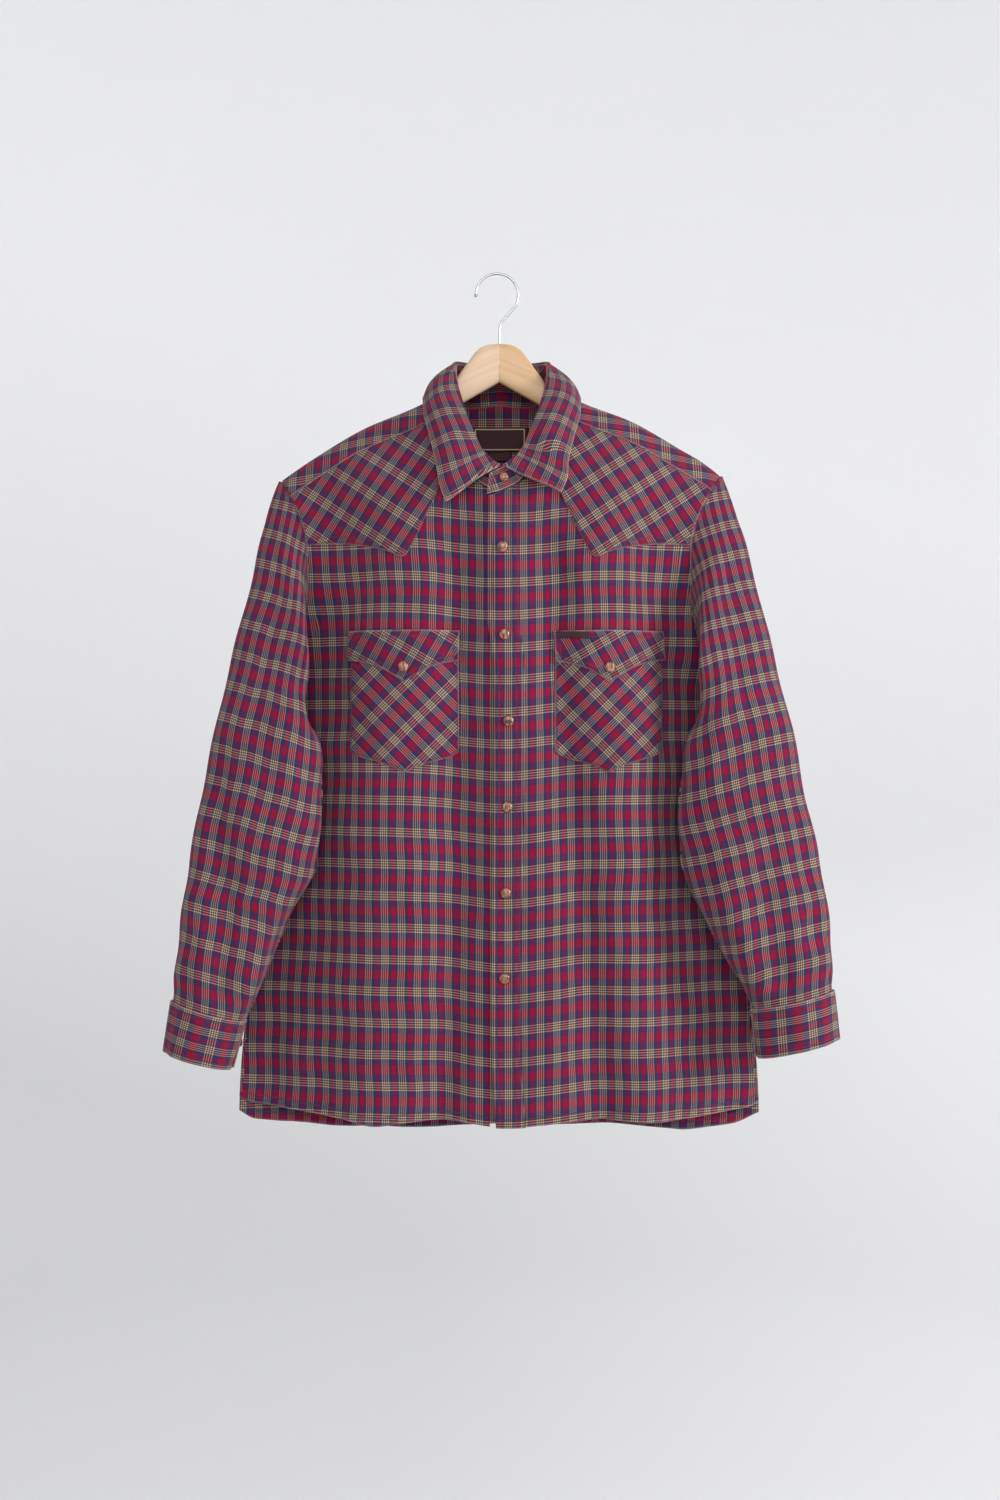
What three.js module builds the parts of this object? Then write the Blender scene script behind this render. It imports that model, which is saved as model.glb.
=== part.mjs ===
// A western snap shirt hanging on a wooden hanger, in millimetres.
// +X is to the right as the front is seen, +Z is up, and the front faces -Y.
// The origin is the inside top of the hanger's hook, where a rail would lie.

import * as THREE from 'three';
import { mergeVertices } from 'three/addons/utils/BufferGeometryUtils.js';

// Cloth thicknesses and gaps.
const CLOTH = 1.4;
const STIFF = 2.0; // collar, cuffs and bands, which have an interlining
const SEAM = 0.3;
const LAID_ON = 1.2; // a patch over a folded panel

// Driving sizes.
const SHOULDER_LEFT = -240;
const SHOULDER_RIGHT = 244;
const NECK_HALF = 62;
const UNDERARM_Z = -457;
const YOKE_DROP = 27; // how far the back yoke comes down in front of the shoulder
const HEM_FRONT = -927;
const HEM_BACK = -938;
const PLACKET_WIDTH = 32;
const PLACKET_TOP = -253;
const SNAP_RADIUS = 6;
const SNAP_HEIGHT = 3.2;
const SNAP_FIRST = -306;
const SNAP_PITCH = 92.5;
const SNAPS_DOWN = 6;
const ARM_THICK = 6.2;

const paint = (color, roughness, metalness = 0) =>
  new THREE.MeshStandardMaterial({ color, roughness, metalness });
const check = () => paint(0x7a4a55, 0.9);
const maroon = () => paint(0x4d1420, 0.7);
const horn = () => paint(0x6b4a35, 0.35, 0.2);
const wood = (color) => paint(color, 0.5);
const chrome = () => paint(0xd8dadd, 0.12, 1);

const shirt = new THREE.Group();

// Reading a table of rows: smooth between the rows, flat past the ends.
function reader(rows, by, column) {
  const at = rows.map((row) => row[by]);
  const value = rows.map((row) => row[column]);
  const last = at.length - 1;
  const pitch = at.slice(1).map((a, i) => (value[i + 1] - value[i]) / (a - at[i]));
  const slope = value.map((_, i) => {
    if (i === 0 || i === last) return pitch[Math.min(i, last - 1)];
    const before = pitch[i - 1];
    const after = pitch[i];
    return before * after <= 0 ? 0 : (2 * before * after) / (before + after);
  });
  return (wanted) => {
    if (wanted <= at[0]) return value[0];
    if (wanted >= at[last]) return value[last];
    let i = 0;
    while (wanted > at[i + 1]) i += 1;
    const span = at[i + 1] - at[i];
    const t = (wanted - at[i]) / span;
    const rest = 1 - t;
    return (
      value[i] * (1 + 2 * t) * rest * rest +
      value[i + 1] * t * t * (3 - 2 * t) +
      span * t * rest * (slope[i] * rest - slope[i + 1] * t)
    );
  };
}

function readers(rows, by) {
  const made = {};
  for (const column of Object.keys(rows[0])) {
    if (column !== by) made[column] = reader(rows, by, column);
  }
  return made;
}

const mix = (a, b, t) => a + (b - a) * t;
const clamp = (t) => Math.min(1, Math.max(0, t));
const ease = (t) => clamp(t) * clamp(t) * (3 - 2 * clamp(t));

// The ridge of the shoulders, over the hanger's arms.
const RIDGE = reader(
  [
    { x: -247, z: -235 },
    { x: -232, z: -223.5 },
    { x: -199, z: -201 },
    { x: -148, z: -171 },
    { x: -83, z: -143 },
    { x: -62, z: -128.5 },
    { x: 0, z: -96 },
    { x: 64, z: -126.5 },
    { x: 89, z: -141.2 },
    { x: 144, z: -162.5 },
    { x: 200, z: -194 },
    { x: 222, z: -207 },
    { x: 244, z: -224.5 },
    { x: 253, z: -235 },
  ],
  'x',
  'z',
);

// The section across a shoulder: share of the full depth that the cloth has reached
// in front of and behind the ridge, by how far it has come down.
const SHOULDER = readers(
  [
    { down: 0, front: 0, back: 0 },
    { down: 1.5, front: 0.11, back: 0.24 },
    { down: 7, front: 0.2, back: 0.44 },
    { down: 15, front: 0.27, back: 0.58 },
    { down: 26, front: 0.36, back: 0.71 },
    { down: 44, front: 0.5, back: 0.84 },
    { down: 66, front: 0.65, back: 0.93 },
    { down: 112, front: 0.85, back: 1 },
    { down: 151, front: 0.93, back: 1 },
    { down: 210, front: 1, back: 1 },
  ],
  'down',
);
// The section closes sooner towards the sleeve.
const REACH = reader(
  [
    { out: 0, reach: 1 },
    { out: 100, reach: 0.9 },
    { out: 160, reach: 0.7 },
    { out: 200, reach: 0.48 },
    { out: 225, reach: 0.34 },
    { out: 250, reach: 0.28 },
  ],
  'out',
  'reach',
);

// The body by height: its side edge, and where the front and the back lie in depth
// at the middle and at that edge.
const BODY = readers(
  [
    { z: -960, side: 289, front: -40, frontEdge: 13, back: 27, backEdge: 16.7 },
    { z: -880, side: 286, front: -42, frontEdge: 13, back: 28, backEdge: 16.7 },
    { z: -750, side: 272, front: -47, frontEdge: 13, back: 31, backEdge: 16.7 },
    { z: -600, side: 255, front: -52, frontEdge: 12, back: 34, backEdge: 15.7 },
    { z: -500, side: 245, front: -57, frontEdge: 9, back: 36, backEdge: 12.7 },
    { z: -457, side: 240, front: -60, frontEdge: 7, back: 36, backEdge: 11.6 },
    { z: -430, side: 229, front: -62, frontEdge: 2, back: 37, backEdge: 16 },
    { z: -400, side: 217, front: -65, frontEdge: -6, back: 37, backEdge: 21 },
    { z: -350, side: 208, front: -71, frontEdge: -17, back: 38, backEdge: 25 },
    { z: -300, side: 208, front: -77, frontEdge: -25, back: 38, backEdge: 26 },
    { z: -275, side: 213, front: -82, frontEdge: -28, back: 37, backEdge: 25 },
    { z: -248, side: 225, front: -84, frontEdge: -30, back: 36, backEdge: 24 },
    { z: -236, side: 233, front: -84, frontEdge: -30, back: 35, backEdge: 23 },
    { z: -224, side: 241, front: -84, frontEdge: -30, back: 35, backEdge: 22 },
  ],
  'z',
);
// How the depth falls from the middle to the edge.
const ACROSS = readers(
  [
    { out: 0, front: 1, back: 1 },
    { out: 0.3, front: 0.985, back: 1 },
    { out: 0.5, front: 0.89, back: 0.98 },
    { out: 0.6, front: 0.76, back: 0.95 },
    { out: 0.7, front: 0.52, back: 0.88 },
    { out: 0.8, front: 0.24, back: 0.72 },
    { out: 0.9, front: 0.06, back: 0.4 },
    { out: 1, front: 0, back: 0 },
  ],
  'out',
);

// Folds of the body: a line of travel seen from the front, how wide and how deep.
// A negative depth is a ridge.
const FRONT_FOLDS = [
  { topZ: -235, topX: -46, midX: -38, lowX: -64, lowZ: -980, wide: 25, deep: 10 },
  { topZ: -225, topX: 50, midX: 74, lowX: 118, lowZ: -980, wide: 27, deep: 10 },
  { topZ: -420, topX: -118, midX: -130, lowX: -142, lowZ: -980, wide: 34, deep: -5 },
  { topZ: -420, topX: 142, midX: 150, lowX: 170, lowZ: -980, wide: 34, deep: -5 },
  { topZ: -330, topX: -172, midX: -170, lowX: -166, lowZ: -560, wide: 17, deep: 4 },
  { topZ: -180, topX: 152, midX: 160, lowX: 170, lowZ: -380, wide: 17, deep: 5 },
  { topZ: -215, topX: -186, midX: -188, lowX: -192, lowZ: -330, wide: 15, deep: 4 },
  { topZ: -700, topX: -222, midX: -226, lowX: -232, lowZ: -980, wide: 24, deep: -4 },
  { topZ: -700, topX: 214, midX: 222, lowX: 230, lowZ: -980, wide: 26, deep: -4 },
];
const BACK_FOLDS = [
  { topZ: -300, topX: -70, midX: -78, lowX: -96, lowZ: -990, wide: 32, deep: -8 },
  { topZ: -330, topX: 84, midX: 80, lowX: 66, lowZ: -990, wide: 30, deep: -9 },
  { topZ: -300, topX: 4, midX: -4, lowX: -14, lowZ: -700, wide: 26, deep: -4 },
  { topZ: -380, topX: -168, midX: -172, lowX: -182, lowZ: -990, wide: 30, deep: -5 },
  { topZ: -380, topX: 160, midX: 170, lowX: 184, lowZ: -990, wide: 30, deep: -5 },
];
const FOLD_FADE = 90;

function foldDepth(folds, x, z) {
  let depth = 0;
  for (const fold of folds) {
    const t = clamp((fold.topZ - z) / (fold.topZ - fold.lowZ));
    const line = mix(mix(fold.topX, fold.midX, t), mix(fold.midX, fold.lowX, t), t);
    const side = (x - line) / fold.wide;
    const begins = ease((fold.topZ - z) / FOLD_FADE);
    const ends = ease((z - fold.lowZ) / FOLD_FADE + 0.01);
    const held = fold.lowZ < HEM_BACK ? begins : begins * ends;
    depth += fold.deep * held * Math.exp(-side * side);
  }
  return depth;
}

function depthAt(face, x, z) {
  const out = Math.abs(x);
  const down = Math.max(0, RIDGE(x) - z) / REACH(out);
  const share = ACROSS[face](Math.min(1, out / BODY.side(z)));
  const full = mix(BODY[face + 'Edge'](z), BODY[face](z), share);
  const closed = SHOULDER[face](down);
  const loose = closed * ease((share - 0.02) / 0.3);
  const folds = face === 'front' ? FRONT_FOLDS : BACK_FOLDS;
  return full * closed + foldDepth(folds, x, z) * loose;
}

// The fold lines of the panels. Between two of them the cloth is ruled straight,
// so that a patch laid on a panel follows the very same surface.
const HALF_COLUMNS = [21, 31, 41, 52, 64, 77, 90, 103, 116, 129, 142, 155, 168, 182, 195];
const UNDER_EDGE = -10;
const UNDER_END = 12;
const COLUMNS = HALF_COLUMNS.map((x) => -x).reverse().concat([UNDER_EDGE, UNDER_END], HALF_COLUMNS);
const FREE = COLUMNS[COLUMNS.length - 1];

function panelDepth(face, x, z) {
  if (x <= -FREE || x >= FREE) return depthAt(face, x, z);
  let i = 0;
  while (x > COLUMNS[i + 1]) i += 1;
  const t = (x - COLUMNS[i]) / (COLUMNS[i + 1] - COLUMNS[i]);
  return mix(depthAt(face, COLUMNS[i], z), depthAt(face, COLUMNS[i + 1], z), t);
}

const onPanel = (face, x, z) => new THREE.Vector3(x, panelDepth(face, x, z), z);

// A closed wall of cloth. place(u, v) is its outer face, and the wall lies inside it.
function closed(geometry, name, material, bend) {
  geometry.deleteAttribute('normal');
  geometry.deleteAttribute('uv');
  const merged = mergeVertices(geometry, 1e-4);
  const spots = merged.getAttribute('position');
  const at = new THREE.Vector3();
  for (let i = 0; i < spots.count; i += 1) {
    at.fromBufferAttribute(spots, i);
    bend(at);
    spots.setXYZ(i, at.x, at.y, at.z);
  }
  let volume = 0;
  const corners = [new THREE.Vector3(), new THREE.Vector3(), new THREE.Vector3()];
  const index = merged.index.array;
  for (let i = 0; i < index.length; i += 3) {
    corners.forEach((corner, k) => corner.fromBufferAttribute(spots, index[i + k]));
    volume += corners[0].dot(corners[1].cross(corners[2]));
  }
  if (volume < 0) {
    for (let i = 0; i < index.length; i += 3) {
      [index[i], index[i + 1]] = [index[i + 1], index[i]];
    }
  }
  merged.computeVertexNormals();
  const mesh = new THREE.Mesh(merged, material);
  mesh.name = name;
  shirt.add(mesh);
  return mesh;
}

const STEP = 0.004;
const tip = new THREE.Vector3();

function outward(place, u, v, facing, wraps = false) {
  const low = (t) => Math.max(STEP, Math.min(1 - STEP, t));
  const cu = wraps ? u : low(u);
  const cv = low(v);
  const alongU = place(cu + STEP, cv).sub(place(cu - STEP, cv));
  const alongV = place(cu, cv + STEP).sub(place(cu, cv - STEP));
  return tip.crossVectors(alongU, alongV).normalize().multiplyScalar(facing).clone();
}

function wall(name, material, place, { across, down, thick = CLOTH, facing = 1, lift = 0 }) {
  const box = new THREE.BoxGeometry(1, 1, 1, across, down, 1);
  return closed(box, name, material, (at) => {
    const u = at.x + 0.5;
    const v = at.y + 0.5;
    const away = lift - (at.z > 0 ? 0 : thick);
    const out = outward(place, u, v, facing);
    at.copy(place(u, v)).addScaledVector(out, away);
  });
}

// A tube of cloth with open ends. u goes round it and v goes along it.
function tube(name, material, place, { round, along, thick = CLOTH, facing = 1 }) {
  const profile = [];
  for (let i = 0; i <= along; i += 1) profile.push(new THREE.Vector2(2, i / along));
  for (let i = along; i >= 0; i -= 1) profile.push(new THREE.Vector2(1, i / along));
  profile.push(profile[0].clone());
  const lathe = new THREE.LatheGeometry(profile, round);
  return closed(lathe, name, material, (at) => {
    const u = (Math.atan2(at.x, at.z) / (2 * Math.PI) + 1) % 1;
    const v = at.y;
    const away = Math.hypot(at.x, at.z) > 1.5 ? 0 : -thick;
    const out = outward(place, u, v, facing, true);
    at.copy(place(u, v)).addScaledVector(out, away);
  });
}

// The neck seam: the line where the stand is sewn to the panels, by half.
const NECK = reader(
  [
    { out: 0, z: -248 },
    { out: 10, z: -243.5 },
    { out: 23, z: -236 },
    { out: 36, z: -216 },
    { out: 47, z: -188 },
    { out: 57, z: -156 },
    { out: 61, z: -139 },
    { out: 62, z: -128 },
  ],
  'out',
  'z',
);

// Hem lines, a little up at the side vents.
const HEM_EDGE = reader(
  [
    { out: 0, up: 0 },
    { out: 200, up: 0 },
    { out: 262, up: 2 },
    { out: 280, up: 8 },
    { out: 289, up: 20 },
  ],
  'out',
  'up',
);

const SHOULDER_EDGE = 225; // the last column that reaches the shoulder seam

// The panels' side edge, cut a little deeper where the armhole turns under the arm.
const UNDERARM_EASE = 10;
const panelEdge = (z) => BODY.side(z) - SEAM - UNDERARM_EASE * Math.exp(-(((z + 450) / 20) ** 2));

// A panel between its side edge, its hem and its top line, in columns.
function panel(name, face, columns, { hem, top, rows }) {
  const last = columns.length - 1;
  const side = (x, out, z) => Math.sign(x) * mix(FREE, panelEdge(z), out);
  const place = (u, v) => {
    const spot = u * last;
    const i = Math.min(last - 1, Math.floor(spot));
    const t = spot - i;
    const near = columns[i];
    const far = columns[i + 1];
    const across = (column, z) => (Math.abs(column) > FREE ? side(column, outShare(column), z) : column);
    const guide = mix(near, far, t);
    const reachX = Math.sign(guide) * Math.min(Math.abs(guide), SHOULDER_EDGE);
    const low = hem + HEM_EDGE(Math.abs(guide));
    const high = top(reachX);
    const z = mix(low, high, v);
    const x = mix(across(near, z), across(far, z), t);
    return onPanel(face, x, z);
  };
  const sign = face === 'front' ? 1 : -1;
  return wall(name, check(), place, { across: last, down: rows, facing: sign });
}
// Columns past the free ones are spread between them and the side edge.
const OUTER = 289;
const outShare = (column) => (Math.abs(column) - FREE) / (OUTER - FREE);
const SIDE_COLUMNS = [209, 225, 245, 268, OUTER];

const CORNER_EASE = 3.6; // the seam's corner at the armhole is eased
const yokeSeam = (x) => RIDGE(x) - YOKE_DROP;
const frontTop = (x) => {
  const out = Math.abs(x);
  return (out < NECK_HALF ? Math.min(yokeSeam(x), NECK(out)) : yokeSeam(x)) - SEAM - CORNER_EASE * ease((out - FREE) / 20);
};

const leftColumns = SIDE_COLUMNS.map((x) => -x).reverse().concat(COLUMNS.filter((x) => x <= UNDER_EDGE));
const rightColumns = COLUMNS.filter((x) => x >= UNDER_END).concat(SIDE_COLUMNS);
panel('front_left', 'front', leftColumns, { hem: HEM_FRONT, top: frontTop, rows: 19 });
panel('front_right', 'front', rightColumns, { hem: HEM_FRONT, top: frontTop, rows: 19 });

// The back hangs lower. Its yoke seam dips to a shallow point, in straight lines.
const BACK_SEAM_POINTS = [
  { out: 0, z: -318 },
  { out: 41, z: -301 },
  { out: 116, z: -288 },
  { out: 240, z: -276 },
];
function backSeam(x) {
  const out = Math.abs(x);
  const i = BACK_SEAM_POINTS.findIndex((point) => point.out >= out);
  if (i <= 0) return BACK_SEAM_POINTS[0].z;
  const near = BACK_SEAM_POINTS[i - 1];
  const far = BACK_SEAM_POINTS[i];
  return mix(near.z, far.z, (out - near.out) / (far.out - near.out));
}
const BACK_HALF = [21, 41, 77, 116, 155, 195];
const backColumns = SIDE_COLUMNS.map((x) => -x)
  .reverse()
  .concat(BACK_HALF.map((x) => -x).reverse(), [0], BACK_HALF, SIDE_COLUMNS);
panel('back', 'back', backColumns, {
  hem: HEM_BACK,
  top: (x) => backSeam(x) - SEAM,
  rows: 16,
});

// The back yoke runs from the front seam, over the ridge, down to the back seam.
// Its middle columns end at the neck seam instead of the front seam.
const YOKE_COLUMNS = [
  { out: SHOULDER_EDGE, start: YOKE_DROP },
  { out: 209, start: YOKE_DROP },
  { out: 195, start: YOKE_DROP },
  { out: 168, start: YOKE_DROP },
  { out: 142, start: YOKE_DROP },
  { out: 116, start: YOKE_DROP },
  { out: 90, start: YOKE_DROP },
  { out: 77, topOut: 63.5, start: YOKE_DROP },
  { out: 66, topOut: 63, start: 12 },
  { out: 58, topOut: 62.6, start: -1 },
  { out: 50, topOut: 58, start: -7 },
  { out: 41, topOut: 48, start: -20 },
  { out: 28, topOut: 32, start: -34 },
  { out: 14, topOut: 16, start: -41 },
  { out: 0, topOut: 0, start: -42.5 },
];
const halfYoke = YOKE_COLUMNS.map(({ out, topOut = out, start }) => ({ lowX: out, highX: topOut, start }));
const mirrored = halfYoke.map(({ lowX, highX, start }) => ({ lowX: -lowX, highX: -highX, start }));
const yokeRows = mirrored.concat(halfYoke.slice(0, -1).reverse());

// Ways down are spaced finely near the ridge, where the cloth turns over the hanger.
const RIDGE_EASE = 2.2;
const root = (way) => Math.sign(way) * Math.abs(way) ** (1 / RIDGE_EASE);
const power = (way) => Math.sign(way) * Math.abs(way) ** RIDGE_EASE;

// A point of the shoulder by its signed way down from the ridge: plus is in front.
function shoulderPoint(guide, way) {
  const face = way >= 0 ? 'front' : 'back';
  const share = (Math.abs(guide) - FREE) / (SHOULDER_EDGE - FREE);
  let x = guide;
  let z = RIDGE(x) - Math.abs(way);
  for (let round = 0; round < 4 && share > 0; round += 1) {
    x = Math.sign(guide) * mix(FREE, BODY.side(z) - SEAM, share);
    z = RIDGE(x) - Math.abs(way);
  }
  return new THREE.Vector3(x, depthAt(face, x, z), z);
}
function backYoke(u, v) {
  const spot = u * (yokeRows.length - 1);
  const i = Math.min(yokeRows.length - 2, Math.floor(spot));
  const t = spot - i;
  const row = (key) => mix(yokeRows[i][key], yokeRows[i + 1][key], t);
  const lowX = row('lowX');
  const end = backSeam(lowX) - RIDGE(lowX);
  const way = power(mix(root(row('start')), root(end), v));
  return shoulderPoint(mix(row('highX'), lowX, v), way);
}
wall('back_yoke', check(), backYoke, { across: yokeRows.length - 1, down: 11 });

// Sleeves. Each starts at its armhole, whose front half lies on the front edge of the
// body and whose back half lies on the back edge, and hangs in front of the body's side.
// A turn of 0 is the outer line, a quarter is in front, and a half is the underarm seam.
const toInner = (angle) => (1 - Math.cos(angle)) / 2;
const SLEEVE_CLEAR = 1.8; // from the panels at the shoulder
const UNDERARM_CLEAR = 7; // and under the arm
const UNDERARM_DROP = 5;

function armholePoint(sign, turn) {
  const top = sign < 0 ? SHOULDER_LEFT : SHOULDER_RIGHT;
  const angle = turn * 2 * Math.PI;
  const z = mix(RIDGE(top), UNDERARM_Z, toInner(angle));
  const inFront = Math.sin(angle) >= 0;
  const low = toInner(angle) ** 3;
  const x = sign * (BODY.side(z) + mix(SLEEVE_CLEAR, UNDERARM_CLEAR, low));
  const y = depthAt(inFront ? 'front' : 'back', sign * BODY.side(z), z);
  return new THREE.Vector3(x, y - SLEEVE_CLEAR * low, z - UNDERARM_DROP * low);
}

// Rings of the sleeves: the outer and the inner end of each, its depth at both ends, how far
// it bulges to the front and the back, and how far its front and back bow inwards.
const SLEEVES = {
  left: [
    { s: 0, ox: -241, oz: -231, ix: -240, iz: -458, oy: 0, iy: 9, front: 24, back: 20, bow: 30, bowBack: 26 },
    { s: 0.06, ox: -250, oz: -252, ix: -249, iz: -472, oy: -3, iy: -2, front: 34, back: 24, bow: 38, bowBack: 22 },
    { s: 0.12, ox: -258, oz: -280, ix: -243, iz: -480, oy: -7, iy: -12, front: 38, back: 26, bow: 43, bowBack: 16 },
    { s: 0.2, ox: -268, oz: -326, ix: -226, iz: -486, oy: -12, iy: -20, front: 40, back: 27, bow: 40, bowBack: 8 },
    { s: 0.28, ox: -281, oz: -381, ix: -210, iz: -498, oy: -18, iy: -27, front: 39, back: 28, bow: 26, bowBack: 3 },
    { s: 0.36, ox: -294, oz: -435, ix: -196, iz: -508, oy: -24, iy: -30, front: 38, back: 29, bow: 10, bowBack: 0 },
    { s: 0.45, ox: -309, oz: -505, ix: -191.5, iz: -545, oy: -29, iy: -33, front: 37, back: 30, bow: 0, bowBack: 0 },
    { s: 0.56, ox: -324, oz: -579, ix: -193, iz: -600, oy: -32, iy: -35, front: 38, back: 31, bow: 0, bowBack: 0 },
    { s: 0.66, ox: -335.5, oz: -645, ix: -198, iz: -648, oy: -34, iy: -37, front: 39, back: 32, bow: 0, bowBack: 0 },
    { s: 0.75, ox: -342, oz: -690, ix: -218, iz: -686, oy: -36, iy: -38, front: 38, back: 33, bow: 0, bowBack: 0 },
    { s: 0.84, ox: -347, oz: -733, ix: -241, iz: -736, oy: -38, iy: -39, front: 37, back: 33, bow: 0, bowBack: 0 },
    { s: 0.93, ox: -350.5, oz: -770, ix: -260, iz: -784, oy: -39, iy: -39, front: 36, back: 33, bow: 0, bowBack: 0 },
    { s: 1, ox: -352, oz: -794, ix: -275, iz: -816, oy: -39, iy: -39, front: 34, back: 33, bow: 0, bowBack: 0 },
  ],
  right: [
    { s: 0, ox: 245, oz: -226, ix: 240, iz: -458, oy: 0, iy: 9, front: 24, back: 20, bow: 30, bowBack: 26 },
    { s: 0.06, ox: 253, oz: -245, ix: 249, iz: -472, oy: -3, iy: -2, front: 34, back: 24, bow: 34, bowBack: 22 },
    { s: 0.12, ox: 263, oz: -274, ix: 243, iz: -480, oy: -7, iy: -12, front: 38, back: 26, bow: 36, bowBack: 16 },
    { s: 0.2, ox: 276, oz: -320, ix: 227, iz: -486, oy: -12, iy: -20, front: 40, back: 27, bow: 32, bowBack: 8 },
    { s: 0.28, ox: 290, oz: -380, ix: 213, iz: -498, oy: -18, iy: -27, front: 39, back: 28, bow: 18, bowBack: 3 },
    { s: 0.36, ox: 303, oz: -436, ix: 204, iz: -508, oy: -24, iy: -30, front: 38, back: 29, bow: 6, bowBack: 0 },
    { s: 0.45, ox: 319, oz: -503, ix: 198.5, iz: -545, oy: -29, iy: -33, front: 37, back: 30, bow: 0, bowBack: 0 },
    { s: 0.56, ox: 334, oz: -582, ix: 194.5, iz: -598, oy: -32, iy: -35, front: 38, back: 31, bow: 0, bowBack: 0 },
    { s: 0.66, ox: 347, oz: -640, ix: 197.5, iz: -642, oy: -34, iy: -37, front: 39, back: 32, bow: 0, bowBack: 0 },
    { s: 0.75, ox: 355, oz: -690, ix: 215, iz: -690, oy: -36, iy: -38, front: 38, back: 33, bow: 0, bowBack: 0 },
    { s: 0.84, ox: 359, oz: -728, ix: 240, iz: -738, oy: -38, iy: -39, front: 37, back: 33, bow: 0, bowBack: 0 },
    { s: 0.93, ox: 359.5, oz: -762, ix: 261, iz: -774, oy: -39, iy: -39, front: 36, back: 33, bow: 0, bowBack: 0 },
    { s: 1, ox: 360, oz: -783, ix: 275, iz: -803, oy: -39, iy: -39, front: 34, back: 33, bow: 0, bowBack: 0 },
  ],
};
// Creases of a sleeve: they start at one turn and place along it and end at another.
const SLEEVE_FOLDS = {
  left: [
    { fromTurn: 0.155, fromS: 0.58, toTurn: 0.31, toS: 1, wide: 0.045, deep: 7 },
    { fromTurn: 0.34, fromS: 0.62, toTurn: 0.4, toS: 0.95, wide: 0.045, deep: -5 },
    { fromTurn: 0.25, fromS: 0.16, toTurn: 0.35, toS: 0.55, wide: 0.05, deep: -5 },
    { fromTurn: 0.12, fromS: 0.5, toTurn: 0.17, toS: 0.72, wide: 0.03, deep: 4 },
    { fromTurn: 0.7, fromS: 0.2, toTurn: 0.62, toS: 0.6, wide: 0.05, deep: 6 },
    { fromTurn: 0.85, fromS: 0.5, toTurn: 0.75, toS: 0.98, wide: 0.05, deep: 6 },
  ],
  right: [
    { fromTurn: 0.2, fromS: 0.6, toTurn: 0.3, toS: 1, wide: 0.045, deep: 6 },
    { fromTurn: 0.32, fromS: 0.66, toTurn: 0.38, toS: 0.97, wide: 0.045, deep: -5 },
    { fromTurn: 0.22, fromS: 0.14, toTurn: 0.34, toS: 0.5, wide: 0.05, deep: -5 },
    { fromTurn: 0.1, fromS: 0.55, toTurn: 0.14, toS: 0.85, wide: 0.035, deep: 4 },
    { fromTurn: 0.72, fromS: 0.2, toTurn: 0.63, toS: 0.6, wide: 0.05, deep: 6 },
    { fromTurn: 0.86, fromS: 0.52, toTurn: 0.77, toS: 0.98, wide: 0.05, deep: 6 },
  ],
};
const sleeveRows = {
  left: readers(SLEEVES.left, 's'),
  right: readers(SLEEVES.right, 's'),
};
const ARMHOLE_HOLD = 0.1;

function creaseDepth(folds, turn, s) {
  let depth = 0;
  for (const fold of folds) {
    const t = (s - fold.fromS) / (fold.toS - fold.fromS);
    const line = mix(fold.fromTurn, fold.toTurn, clamp(t));
    const side = (turn - line) / fold.wide;
    const held = ease((t + 0.25) / 0.45) * ease((1.2 - t) / 0.35);
    depth += fold.deep * held * Math.exp(-side * side);
  }
  return depth;
}

function sleevePoint(hand, turn, s) {
  const sign = hand === 'left' ? -1 : 1;
  const row = (key) => sleeveRows[hand][key](s);
  const angle = turn * 2 * Math.PI;
  const cos = Math.cos(angle);
  const sin = Math.sin(angle);
  const inner = toInner(angle);
  const bulge = sin >= 0 ? row('front') : row('back');
  const bow = (sin >= 0 ? row('bow') : row('bowBack')) * sin * sin;
  const crease = creaseDepth(SLEEVE_FOLDS[hand], turn, s);
  const round = Math.abs(sin) ** 0.85 * Math.sign(sin);
  const spot = new THREE.Vector3(
    mix(row('ox'), row('ix'), inner) - sign * (bow + crease * cos),
    mix(row('oy'), row('iy'), inner) - (bulge - crease) * round,
    mix(row('oz'), row('iz'), inner),
  );
  const held = 1 - ease(s / ARMHOLE_HOLD);
  return held > 0 ? spot.lerp(armholePoint(sign, turn), held) : spot;
}

// Cuffs: a straight band round the sleeve's end that laps itself at the back.
const CUFFS = {
  left: { ox: -352.4, oz: -794.6, ix: -275.6, iz: -816.8, lowOx: -361, lowOz: -847, lowIx: -290, lowIz: -867 },
  right: { ox: 360.4, oz: -783.5, ix: 275, iz: -803.6, lowOx: 366, lowOz: -834, lowIx: 280, lowIz: -855 },
};
const CUFF_DEPTH = 34;
const CUFF_LOW_DEPTH = 35;
const CUFF_Y = -39;
const CUFF_SPLIT = 0.62; // the turn at which the lapping end lies
const CUFF_ROUND = 0.1; // the share of a turn that the ends lap
const CUFF_GAP = 0.5;
const CUFF_LIFT = 0.8;
const CUFF_SNAP_RADIUS = 5.5;

function cuffPoint(hand, turn, v, lift = 0) {
  const sizes = CUFFS[hand];
  const angle = turn * 2 * Math.PI;
  const inner = toInner(angle);
  const ends = (high, low) => mix(sizes[high], sizes[low], v);
  const half = mix(CUFF_DEPTH, CUFF_LOW_DEPTH, v) + lift;
  const wide = lift * Math.cos(angle);
  const sign = hand === 'left' ? -1 : 1;
  return new THREE.Vector3(
    mix(ends('ox', 'lowOx'), ends('ix', 'lowIx'), inner) + sign * wide,
    CUFF_Y - half * Math.sin(angle),
    mix(ends('oz', 'lowOz'), ends('iz', 'lowIz'), inner),
  );
}

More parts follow.
